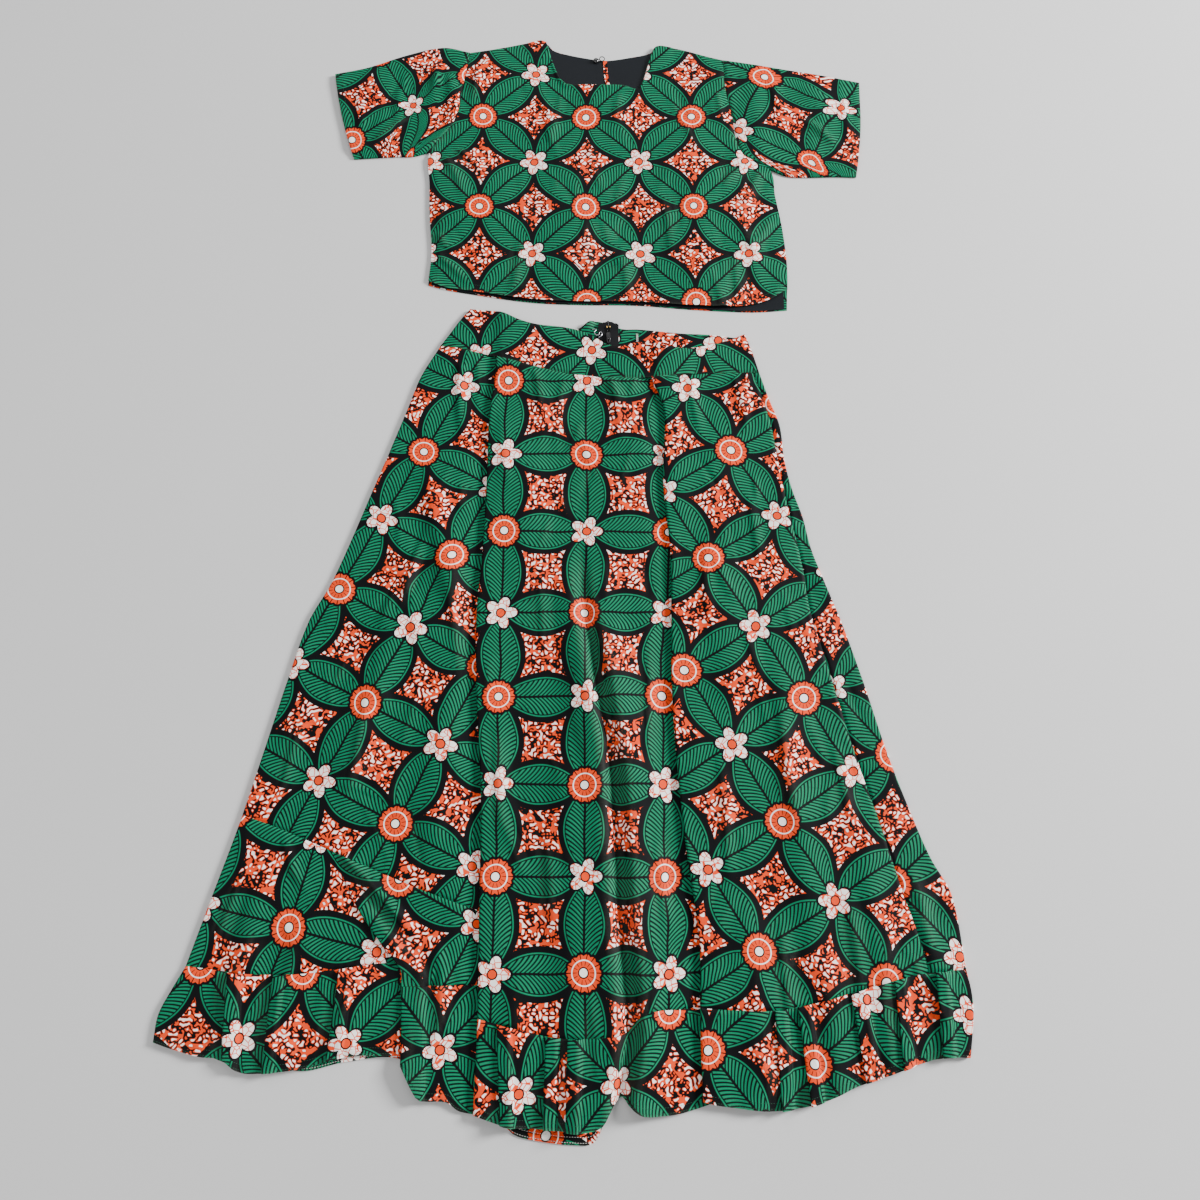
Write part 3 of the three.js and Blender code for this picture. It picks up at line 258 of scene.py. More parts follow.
# Small knife pleats of the ruffle: places at the seam and at the hem, and width
leftPleats = [(-446, -444, 8), (-392, -396, 5), (-313, -322, 9)]
centrePleats = [(-122, -116, 8), (-64, -66, 7), (-38, -40, 8)]
rightPleats = [(208, 212, 6), (236, 246, 7), (300, 312, 9), (352, 356, 6), (402, 404, 7)]

# Crop top
topLeftEdge = [
    (-201, 878), (-207, 835), (-212, 800), (-215, 770), (-226, 742), (-256, 698), (-254, 640),
    (-251, 580), (-246, 525), (-249, 472)]
topRightEdge = [
    (190, 864), (193, 803), (200, 765), (205, 722), (218, 690), (253, 668), (260, 620),
    (268, 563), (272, 500), (269, 431)]
frontNeck = [
    (-201, 878), (-172, 883), (-143, 889), (-111, 896), (-84, 898), (-78, 876), (-70, 850),
    (-61, 830), (-50, 820), (-20, 819), (14, 819), (38, 817), (58, 811), (66, 824), (73, 850),
    (80, 876), (86, 889), (106, 888), (135, 881), (162, 872), (190, 864)]
backNeck = [
    (-201, 878), (-143, 889), (-111, 896), (-84, 898), (-73, 885), (-48, 876), (-12, 868),
    (6, 865), (50, 872), (79, 880), (86, 889), (106, 888), (135, 881), (190, 864)]
frontTopHem = [
    (-249, 478), (-226, 468), (-184, 461), (-101, 448), (-29, 444), (53, 443), (137, 437),
    (200, 436), (240, 445), (269, 463)]
backTopHem = [
    (-249, 472), (-226, 465), (-184, 457), (-101, 444), (-29, 440), (53, 439), (137, 432),
    (219, 428), (269, 431)]
slitLine = [(6, 865), (8, 835), (12, 805), (12, 432)]
slit = {"open": 0.9, "foot": 820, "closed": 770}
shoulderSlope = {"width": 0.07, "neckLeft": -104, "neckRight": 104, "run": 14}
sideSlope = {"width": 16, "top": 690, "foot": 650}
liningReach = {"foot": 792, "inset": 1.5, "left": -84, "right": 88, "hemLeft": -244,
               "hemRight": 265, "underFront": 12}
armholeShare = 0.45

# Sleeves: part, upper edge across and up, lower edge across and up
leftSleeve = [
    (0, -201, 878, -256, 698), (0.2, -243, 887, -279, 691), (0.45, -298, 873, -308, 690),
    (0.75, -358, 850, -340, 688), (1, -408, 838, -370, 686)]
rightSleeve = [
    (0, 190, 864, 253, 668), (0.2, 230, 857, 278, 656), (0.45, 280, 847, 311, 654),
    (0.75, 342, 835, 350, 655), (1, 398, 822, 383, 654)]
armholeGap = 0.5
cuffBow = 4
lowTurn = 1.1


def lerp(start, end, part):
    return start + (end - start) * part


def rise(value, low, high):
    part = np.clip((value - low) / (high - low), 0, 1)
    return part * part * (3 - 2 * part)


def bump(distance, width):
    return np.exp(-(distance / width) ** 2)


def placed(points):  # from the layout, in millimetres, to the frame, in metres
    return (np.asarray(points, float) + layoutShift) / 1000


def valueAt(rows, key, name, place):  # smooth curve through the rows of a table
    rows = np.asarray(rows, float)
    keys, values = rows[:, key], rows[:, name]
    forward = np.sign(keys[-1] - keys[0])
    place = np.asarray(place, float)
    i = np.clip(np.searchsorted(keys * forward, place * forward) - 1, 0, len(keys) - 2)
    before = np.maximum(np.arange(len(keys)) - 1, 0)
    after = np.minimum(np.arange(len(keys)) + 1, len(keys) - 1)
    slopes = (values[after] - values[before]) / (keys[after] - keys[before])
    span = keys[i + 1] - keys[i]
    s = np.clip((place - keys[i]) / span, 0, 1)
    start = (values[i] * (1 + 2 * s) + slopes[i] * span * s) * (1 - s) ** 2
    return start + (values[i + 1] * (3 - 2 * s) + slopes[i + 1] * span * (s - 1)) * s ** 2


def acrossAt(rows, up):
    return valueAt(rows, 1, 0, up)


def upAt(rows, shift=0):
    return lambda x, beyond=0: valueAt(rows, 0, 1, x) + shift


def straight(ends, shift=0):
    (fromX, fromY), (toX, toY) = ends
    return lambda x, beyond=0: shift + lerp(fromY, toY, (x - fromX) / (toX - fromX))


def foldHeight(folds, x, y):
    total = np.zeros(np.broadcast(x, y).shape)
    for topX, topY, footX, footY, bow, height, leftWidth, rightWidth, topFade, footFade in folds:
        part = np.clip((topY - y) / (topY - footY), 0, 1)
        middle = lerp(topX, footX, part) + bow * np.sin(np.pi * part)
        width = np.where(x < middle, leftWidth, rightWidth)
        fade = rise(part, 0, topFade) * rise(1 - part, 0, footFade)
        total += height * fade * bump(x - middle, width)
    return total


# Uneven surface of laid cotton: long shallow swells and many small creases, from a fixed seed
unevenness = {
    "seed": 41, "swells": 26, "swellLength": (70, 230), "swellShare": (0.4, 1),
    "swellHeight": 0.28, "skirtCreases": 150, "topCreases": 50, "length": (45, 150),
    "lean": (-0.55, 0.55), "height": (0.5, 1.3), "sign": [1, 1, -0.8], "width": (3.5, 7),
    "farSide": 1.3, "bow": (-6, 6), "fade": 0.4}
foldStrength = 1.35
creaseStrength = 1.8
topSwell = 1.1
draws = np.random.default_rng(unevenness["seed"])
swells = [(draws.uniform(0, 2 * np.pi), draws.uniform(*unevenness["swellLength"]),
           draws.uniform(0, 2 * np.pi), draws.uniform(*unevenness["swellShare"]))
          for _ in range(unevenness["swells"])]


def smallCreases(left, right, low, high, count):
    u = unevenness
    rows = []
    for _ in range(count):
        x, y = draws.uniform(left, right), draws.uniform(low, high)
        length, lean = draws.uniform(*u["length"]), draws.uniform(*u["lean"])
        height = draws.uniform(*u["height"]) * draws.choice(u["sign"])
        width = draws.uniform(*u["width"])
        rows.append((x, y + length / 2, x + lean * length, y - length / 2,
                     draws.uniform(*u["bow"]), height, width, width * u["farSide"], u["fade"],
                     u["fade"]))
    return rows


skirtFine = skirtCreases + smallCreases(-500, 440, -640, 330, unevenness["skirtCreases"])
topFine = topCreases + smallCreases(-400, 390, 440, 880, unevenness["topCreases"])


def swell(x, y):
    total = 0
    for heading, length, phase, share in swells:
        along = x * math.cos(heading) + y * math.sin(heading)
        total = total + share * np.sin(2 * np.pi * along / length + phase)
    return unevenness["swellHeight"] * total


# Puckers and the dip beside a sewn seam, for a place along it and a distance from it
seamRelief = {"pucker": 0.5, "reach": 13, "dip": 1.5, "dipWidth": 2.1, "wave": 2.7, "drift": 37,
              "secondWave": 4.9, "strongEvery": 53}


def besideSeam(place, distance, strength=1.0):
    s = seamRelief
    wave = (np.sin(place / s["wave"] + 2.2 * np.sin(place / s["drift"]))
            + 0.7 * np.sin(place / s["secondWave"] + 1.1))
    strengthHere = strength * (0.55 + 0.45 * np.sin(place / s["strongEvery"] + 0.6))
    pucker = s["pucker"] * strengthHere * wave * np.exp(-np.abs(distance) / s["reach"])
    return pucker - s["dip"] * bump(distance, s["dipWidth"])


# Creases and swells fade towards an edge: the distances where they begin and are full
edgeFade = {"fold": (3, 18), "side": (4, 24), "band": (4, 20), "topSide": (3, 18), "neck": (2, 16)}


def topFineHeight(x, y):
    return creaseStrength * foldHeight(topFine, x, y) + topSwell * swell(x, y)


def skirtHeight(x, y):
    depth = 1 - rise(y, valleyFull, valleyFrom)
    fromFold = x - acrossAt(centreFold, y)
    valley = 0
    for offset, height, leftWidth, rightWidth in valleySection:
        width = np.where(fromFold < offset, leftWidth, rightWidth)
        valley = valley + height * bump(fromFold - offset, width)
    clear = rise(np.abs(x - acrossAt(leftFold, y)), *edgeFade["fold"])
    clear = clear * rise(np.abs(x - acrossAt(rightFold, y)), *edgeFade["fold"])
    clear = clear * rise(x - acrossAt(skirtLeftSide, y), *edgeFade["side"])
    clear = clear * rise(acrossAt(skirtRightSide, y) - x, *edgeFade["side"])
    fine = clear * (creaseStrength * foldHeight(skirtFine, x, y) + swell(x, y))
    soft = foldStrength * foldHeight(skirtFolds, x, y)
    return np.maximum(loft + soft + depth * valley + fine, valleyFloor)


sinking = {"from": 2, "to": 4}  # where a sheet begins and ends to sink under a fold


def sinkTo(fold, height):
    def sunk(x, y):
        edge = acrossAt(fold, y)
        sunkPart = rise(x, edge - besideFold + sinking["from"], edge - sinking["to"])
        return lerp(height(x, y), underLayer, sunkPart)
    return sunk


def liftFrom(fold, height):
    def lifted(x, y):
        edge = acrossAt(fold, y)
        lift = legLayer + 2 * roll - loft
        return height(x, y) + lift * (1 - rise(x, edge + leg, edge + besideRoll))
    return lifted


leftHeight = sinkTo(leftFold, skirtHeight)
centreHeight = liftFrom(leftFold, sinkTo(rightFold, skirtHeight))
rightHeight = liftFrom(rightFold, skirtHeight)


def sewn(height, *seams):  # a height with the relief of the seams that run across
    def withSeams(x, y):
        total = height(x, y)
        for seamline in seams:
            total = total + besideSeam(x, y - seamline(x))
        return total
    return withSeams


def line(rows, top, foot):
    def at(t):
        y = lerp(top, foot, t)
        return acrossAt(rows, y), y
    return at


def whole(rows):
    return line(rows, rows[0][1], rows[-1][1])


def foldBetween(side, topUp, footUp, atTop=hemFolds, atFoot=hemFolds):
    return line(folds[side], topUp(atTop[side]), footUp(atFoot[side]))


def beside(path, shift):
    return lambda t: (path(t)[0] + (shift(t) if callable(shift) else shift), path(t)[1])


def vertical(x, top, foot):
    return lambda t: (x + 0 * t, lerp(top, foot, t))


def growing(width):
    return lambda t: lerp(width / 4, width, rise(t, 0, 0.2))


def fitted(path, topUp, footUp):  # a line moved up or down to start and end on two seams
    endX, endY = path(np.array([0.0, 1.0]))
    shift = topUp(endX[0]) - endY[0], footUp(endX[1]) - endY[1]
    return lambda t: (path(t)[0], path(t)[1] + lerp(shift[0], shift[1], t))


def even(count, start=0.0, end=1.0):
    return np.linspace(start, end, count)


def spread(left, right, parts, topUp, footUp, height):
    columns = []
    for part in parts:
        def between(t, part=part):
            (leftX, leftY), (rightX, rightY) = left(t), right(t)
            return lerp(leftX, rightX, part), lerp(leftY, rightY, part)
        path = fitted(between, topUp, footUp)
        columns.append(lambda t, path=path: (*path(t), height(*path(t))))
    return columns


def stretch(left, right, topUp, footUp, height, step=None, skip=0):
    places = np.array([0.0, 0.5, 1.0])
    widest = np.max(np.abs(right(places)[0] - left(places)[0]))
    count = max(2, math.ceil(widest / (step or gridStep)) + 1)
    return spread(left, right, even(count)[skip:], topUp, footUp, height)


def toFold(start, fold, reach, topUp, footUp, height, skip=0):  # up to a fold and under it
    columns = stretch(start, beside(fold, -besideFold), topUp, footUp, height, skip=skip)
    return columns + stretch(beside(fold, -besideFold), beside(fold, reach), topUp, footUp,
                             height, skip=1)


def fully(t):
    return 1 + 0 * t


def flatAt(up):
    return lambda x, beyond=0: up + 0 * x


def rolledEdge(path, side, low, width, topUp, footUp):
    turn = np.radians([0, 22.5, 45, 67.5, 90, 112.5, 135, 157.5])
    width = width if callable(width) else (lambda t, width=width: width + 0 * t)
    section = [(lambda t, part=part: roll + width(t) * part, low) for part in (1, 0.5)]
    section += [(lambda t, a=a: roll * (1 - math.sin(a)) + 0 * t, low + roll * (1 - math.cos(a)))
                for a in turn]
    columns = []
    for inward, z in section:
        def inner(t, inward=inward):
            return path(t)[0] - side * (inward(t) + wall / 2), path(t)[1]
        route = fitted(inner, topUp, footUp)
        columns.append(lambda t, route=route, z=z: (*route(t), z + 0 * t))
    return columns if side < 0 else columns[::-1]


# Turn of the folded edge, the slope beside it, and places across while the pleat still lies flat
pleatShape = {"turn": 1.6, "angles": [0, 36, 72, 108, 144, 180], "fall": 11, "hiddenFrom": -7,
              "middle": -0.75, "outerFrom": 0.5, "outerTo": 5.5, "flatTo": 8}


def pleat(across, width, folded, topUp, footUp, height, drawnBack=0.0):
    s = pleatShape
    turn, fall = s["turn"], s["fall"]
    crest = width + 3 * turn
    section = []  # offset when flat, offset when folded, layer
    for angle in s["angles"]:
        a = math.radians(angle)
        section.append((s["hiddenFrom"] + angle / 36, width - turn + turn * math.sin(a),
                        (1 - math.cos(a)) / 2))
    section.append((s["middle"], width / 2, 1))
    hiddenCount = len(section)
    for angle in s["angles"]:
        a = math.radians(angle)
        section.append((s["outerFrom"] + angle / 36, turn - turn * math.sin(a),
                        1 + (1 - math.cos(a)) / 2))
    for part in (0.25, 0.5, 0.75, 1):
        section.append((lerp(s["outerTo"], s["flatTo"], part), lerp(turn, crest, part), 2))
    for part in (0.3, 0.55, 0.8):
        section.append((lerp(s["flatTo"], width + fall, part), lerp(crest, width + fall, part),
                        2 * (1 - float(rise(part, 0, 1)))))
    columns = []
    for number, (flat, over, layer) in enumerate(section):
        def column(t, flat=flat, over=over, layer=layer, hidden=number < hiddenCount):
            amount = folded(t)
            back = drawnBack * over * hidden * rise(t, 0, 0.5)
            x = across(t) + lerp(flat, over - back, amount)
            beyond = min(1, max(0, (flat + 2) / 2.5))
            y = lerp(topUp(x, beyond), footUp(x, beyond), t)
            lift = layer * layerStep * np.minimum(1, 3 * amount)
            return x, y, height(x, y) + lift
        columns.append(column)
    return columns


def pleated(left, right, pleats, topUp, footUp, height, skip=0):
    columns = []
    start = left
    for atSeam, atHem, width in pleats:
        def across(t, atSeam=atSeam, atHem=atHem):
            return lerp(atSeam, atHem, t)

        def at(shift, across=across):
            return lambda t: (across(t) + shift, t)
        columns += stretch(start, at(-11), topUp, footUp, height, skip=skip if not columns else 0)
        columns += pleat(across, width, fully, topUp, footUp, height)
        start = at(width + pleatShape["fall"])
    return columns + stretch(start, right, topUp, footUp, height)


endRows = [0, 0.8, 1.8, 3.2, 5.2]


def down(length, step=None):  # parts down a piece, closer at its two ends
    near, margin = np.array(endRows[:-1]), endRows[-1]
    inner = np.linspace(margin, length - margin, max(2, math.ceil(length / (step or gridStep))))
    return np.concatenate([near, inner, length - near[::-1]]) / length


def gridOf(columns, parts):
    return np.stack([np.stack(column(parts), axis=-1) for column in columns], axis=1)


# How each piece was cut: the grain's lean to the garment's length, and a start in the print
grain = {
    "topFront": (0, 20, 34), "topBackLeft": (0, 70, 12), "topBackRight": (0, 15, 60),
    "sleeveLeft": (12, 40, 10), "sleeveRight": (-14, 10, 52), "slitEdge": (0, -10, 43),
    "bandFront": (-4, 66, 30), "bandBackLeft": (5, 0, 18), "bandBackRight": (-3, 48, 22),
    "frontLeft": (-17, 12, 44), "frontLeftLower": (-30, 60, 10), "frontCentre": (45, 0, 26),
    "frontRight": (13, 30, 70), "sideRight": (4, 90, 20), "backLeft": (0, 5, 5),
    "backRight": (0, 40, 15), "ruffleLeft": (2, 24, 0), "ruffleCentre": (-3, 70, 36),
    "ruffleRight": (6, 8, 62), "ruffleBackLeft": (3, 30, 12), "ruffleBackRight": (-2, 0, 70)}


# The fold of the lower left grows from a point. Past it the cloth lies turned about that point,
# in degrees, and its hidden layers are drawn back.
grownFold = {"point": (-333, -325), "turn": 14, "columns": 10, "width": 20, "grows": (0.05, 0.9),
             "drawnBack": 0.85, "beside": 14}


def clothMap(name, grid, ring, folded):  # flat place of each point in the print, in metres
    closed = np.concatenate([grid, grid[:, :1]], axis=1) if ring else grid
    run = np.hypot(np.diff(closed[:, :, 0], axis=1), np.diff(closed[:, :, 2], axis=1))
    run = np.concatenate([np.zeros((len(run), 1)), np.cumsum(run, axis=1)], axis=1)
    middle = closed.shape[1] // (4 if ring else 2)
    across = run - run[:, middle:middle + 1] + closed[:, middle:middle + 1, 0]
    up = closed[:, :, 1].copy()
    if folded:
        start, end = folded
        across = closed[:, :, 0].copy()
        (pointX, pointY), turn = grownFold["point"], math.radians(grownFold["turn"])
        fromX, fromY = across[:, end:] - pointX, up[:, end:] - pointY
        across[:, end:] = pointX + fromX * math.cos(turn) - fromY * math.sin(turn)
        up[:, end:] = pointY + fromX * math.sin(turn) + fromY * math.cos(turn)
        share = (run[:, start:end] - run[:, start:start + 1]) / (
            run[:, end:end + 1] - run[:, start:start + 1])
        for flat in (across, up):
            flat[:, start:end] = lerp(flat[:, start:start + 1], flat[:, end:end + 1], share)
    lean, startX, startY = grain.get(name, (0, 0, 0))
    angle = math.radians(lean)
    x = across * math.cos(angle) - up * math.sin(angle) + startX
    y = across * math.sin(angle) + up * math.cos(angle) + startY
    return np.stack([x, y], axis=-1) / 1000


def normalsOf(grid, ring):
    if ring:
        along = np.roll(grid, -1, axis=1) - np.roll(grid, 1, axis=1)
    else:
        along = np.gradient(grid, axis=1)
    normal = np.cross(np.gradient(grid, axis=0), along)
    return normal / np.maximum(np.linalg.norm(normal, axis=2, keepdims=True), 1e-9)


sharpFrom = {"cloth": 60, "fittings": 50}  # edges in degrees


def wallMesh(name, grid, thickness, ring, rubAndHighlight, folded):
    rows, cols = grid.shape[:2]
    normal = normalsOf(grid, ring)
    sides = np.stack([grid + normal * thickness / 2, grid - normal * thickness / 2], axis=2)
    points = placed(sides.reshape(-1, 3))
    flatMap = clothMap(name, grid, ring, folded)
    mapCols = flatMap.shape[1]
    i, j = (a.ravel() for a in np.meshgrid(np.arange(rows - 1), np.arange(mapCols - 1),
                                           indexing="ij"))
    allJ, allI = np.arange(mapCols - 1), np.arange(rows - 1)
    last, end = rows - 1, cols - 1

    def quads(*corners):
        corners = [np.broadcast_arrays(*corner, corners[0][0] + corners[0][1])[:3]
                   for corner in corners]
        vertex = np.stack([(r * cols + c % cols) * 2 + s for r, c, s in corners], axis=1)
        place = np.stack([r * mapCols + c for r, c, s in corners], axis=1)
        return vertex, place

    parts = [
        quads((i, j, 0), (i + 1, j, 0), (i + 1, j + 1, 0), (i, j + 1, 0)),
        quads((i, j, 1), (i, j + 1, 1), (i + 1, j + 1, 1), (i + 1, j, 1)),
        quads((0, allJ, 0), (0, allJ + 1, 0), (0, allJ + 1, 1), (0, allJ, 1)),
        quads((last, allJ + 1, 0), (last, allJ, 0), (last, allJ, 1), (last, allJ + 1, 1))]
    if not ring:
        parts += [
            quads((allI + 1, 0, 0), (allI, 0, 0), (allI, 0, 1), (allI + 1, 0, 1)),
            quads((allI, end, 0), (allI + 1, end, 0), (allI + 1, end, 1), (allI, end, 1))]
    vertex = np.concatenate([part[0] for part in parts])
    place = np.concatenate([part[1] for part in parts])
    mesh = bpy.data.meshes.new(name)
    mesh.from_pydata(points.tolist(), [], vertex.tolist())
    layer = mesh.uv_layers.new(name="cloth")
    layer.data.foreach_set("uv", flatMap.reshape(-1, 2)[place.ravel()].astype(np.float32).ravel())
    # Per point, how much the cloth is lightened: rubbed wear, and a painted highlight on edges and
    # bends
    rubAndHighlightLayer = mesh.attributes.new("rubAndHighlight", "FLOAT", "POINT")
    rubAndHighlightLayer.data.foreach_set("value", np.repeat(rubAndHighlight.ravel(), 2).astype(np.float32))
    mesh.shade_smooth()
    mesh.set_sharp_from_angle(angle=math.radians(sharpFrom["cloth"]))
    return mesh


# The grid of each piece of cloth, in layout millimetres. A sleeve is given all round.
grids = {}
materials = {}


def addPiece(name, mesh, finish, suffix="Look"):
    piece = newObject(name + suffix, mesh)
    mesh.materials.append(materials[finish])
    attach(piece, "root")
    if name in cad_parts:
        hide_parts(name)
    return piece


# Where cloth is lightened, partly as rubbed wear and partly as a painted highlight on hems and
# fold crests: strength and reach at its top and foot edges, and on sharp bends
rubAndHighlightReach = {"top": 0.3, "topReach": 2.5, "foot": 0.6, "footReach": 2, "bends": 0.35,
           "bendRange": (0.15, 0.9)}


def addCloth(name, grid, finish="print", thickness=cottonWall, ring=False,
             edges=(True, True), folded=None):
    r = rubAndHighlightReach
    fromTop = np.linalg.norm(grid - grid[:1], axis=2)
    fromFoot = np.linalg.norm(grid - grid[-1:], axis=2)
    # How much the cloth is lightened: rubbed wear at the edges, and a painted highlight on hems
    # and on sharp bends such as fold crests
    rubAndHighlight = (r["top"] * np.exp(-fromTop / r["topReach"]) * edges[0]
           + r["foot"] * np.exp(-fromFoot / r["footReach"]) * edges[1])
    bend = np.abs(np.gradient(np.gradient(grid[:, :, 2], axis=1), axis=1))
    rubAndHighlight = np.clip(rubAndHighlight + r["bends"] * rise(bend, *r["bendRange"]), 0, 1)
    grids[name] = grid
    piece = addPiece(name, wallMesh(name, grid, thickness, ring, rubAndHighlight, folded), finish)
    print(f"cloth {name}: {grid.shape[0]} x {grid.shape[1]} points")


class Bench:  # lays down the nodes of one tree
    def __init__(self, tree):
        self.tree = tree

    def feed(self, socket, value):
        if isinstance(value, bpy.types.NodeSocket):
            self.tree.links.new(value, socket)
        elif value is not None:
            socket.default_value = value

    def node(self, kind, *values, **named):
        made = self.tree.nodes.new(kind)
        for key in [key for key in named if hasattr(made, key)]:
            setattr(made, key, named.pop(key))
        for socket, value in zip(made.inputs, values):
            self.feed(socket, value)
        for key, value in named.items():
            self.feed(made.inputs[key], value)
        return made

    def calc(self, operation, *values):
        return self.node("ShaderNodeMath", *values, operation=operation).outputs[0]

    def add(self, a, b):
        return self.calc("ADD", a, b)

    def minus(self, a, b):
        return self.calc("SUBTRACT", a, b)

    def times(self, a, b):
        return self.calc("MULTIPLY", a, b)

    def absolute(self, value):
        return self.calc("ABSOLUTE", value)

    def below(self, value, edge, soft=0.3):  # 1 under the edge, 0 above it
        made = self.node("ShaderNodeMapRange", value, edge - soft, edge + soft, 1.0, 0.0)
        made.interpolation_type = "SMOOTHSTEP"
        return made.outputs[0]

    def pick(self, factor, a, b):  # number a, or b where the factor is 1
        return self.node("ShaderNodeMix", factor, None, a, b, data_type="FLOAT").outputs[0]

    def paint(self, factor, a, b):  # colour a, or b where the factor is 1
        made = self.node("ShaderNodeMix", factor, data_type="RGBA")
        self.feed(made.inputs[6], a)
        self.feed(made.inputs[7], b)
        return made.outputs[2]

    def noise(self, place, scale, detail=1.0, output="Fac"):
        made = self.node("ShaderNodeTexNoise", Vector=place, Scale=scale, Detail=detail)
        return made.outputs[output]

    def cracks(self, place, scale):
        return self.node("ShaderNodeTexVoronoi", feature="DISTANCE_TO_EDGE", Vector=place,
                         Scale=scale).outputs["Distance"]


def newGroup(name, inputs, outputs):
    tree = bpy.data.node_groups.new(name, "ShaderNodeTree")
    for label, kind in inputs.items():
        tree.interface.new_socket(label, in_out="INPUT", socket_type="NodeSocket" + kind)
    for label, kind in outputs.items():
        tree.interface.new_socket(label, in_out="OUTPUT", socket_type="NodeSocket" + kind)
    bench = Bench(tree)
    given = tree.nodes.new("NodeGroupInput")
    result = tree.nodes.new("NodeGroupOutput")
    return bench, given.outputs, result.inputs


def colour(red, green, blue):  # from screen values, 0 to 255
    return tuple((v / 255 / 12.92 if v <= 10 else ((v / 255 + 0.055) / 1.055) ** 2.4)
                 for v in (red, green, blue)) + (1.0,)


def tinted(tint, factor):
    return tuple(factor * v for v in tint[:3]) + (1.0,)


# The print: a lattice of four-leaved sprays on a squiggled ground, with a flower at each
# meeting of the leaves. Sizes in millimetres, scales in waves per millimetre.
printDesign = {
    "spacing": 112, "wobble": 9, "wobbleScale": 0.012, "leafHalfWidth": 29, "outline": 3.6,
    "border": 6.0, "borderLine": 0.7, "rib": 1.5, "veinPitch": 5.6, "veinShare": 0.22,
    "veinSlant": 1.25, "veinBend": 0.016, "toneScale": 0.03, "windingScale": 0.18,
    "squiggle": 0.09, "core": 0.18, "breakScale": 0.1, "breakShare": 0.6, "sunSize": 21,
    "scallops": 7, "scallopDepth": 2.2, "rayWidth": 0.22, "rayStart": 8, "sunRing": 14.5,
    "starSize": 12, "starPetal": 11, "starVeinScale": 0.14, "starVein": 0.06, "eye": 5,
    "eyeLine": 6.6, "flowerLine": 1.6, "crackScale": 0.04, "crackWidth": 0.012,
    "crackPatchScale": 0.02, "crackPatches": 0.46, "crackInk": 0.2,
    "green": colour(8, 124, 86), "shadeGreen": colour(6, 108, 74), "deepGreen": colour(3, 14, 12),
    "ink": colour(4, 6, 8), "orange": colour(224, 66, 22), "white": colour(247, 243, 236)}


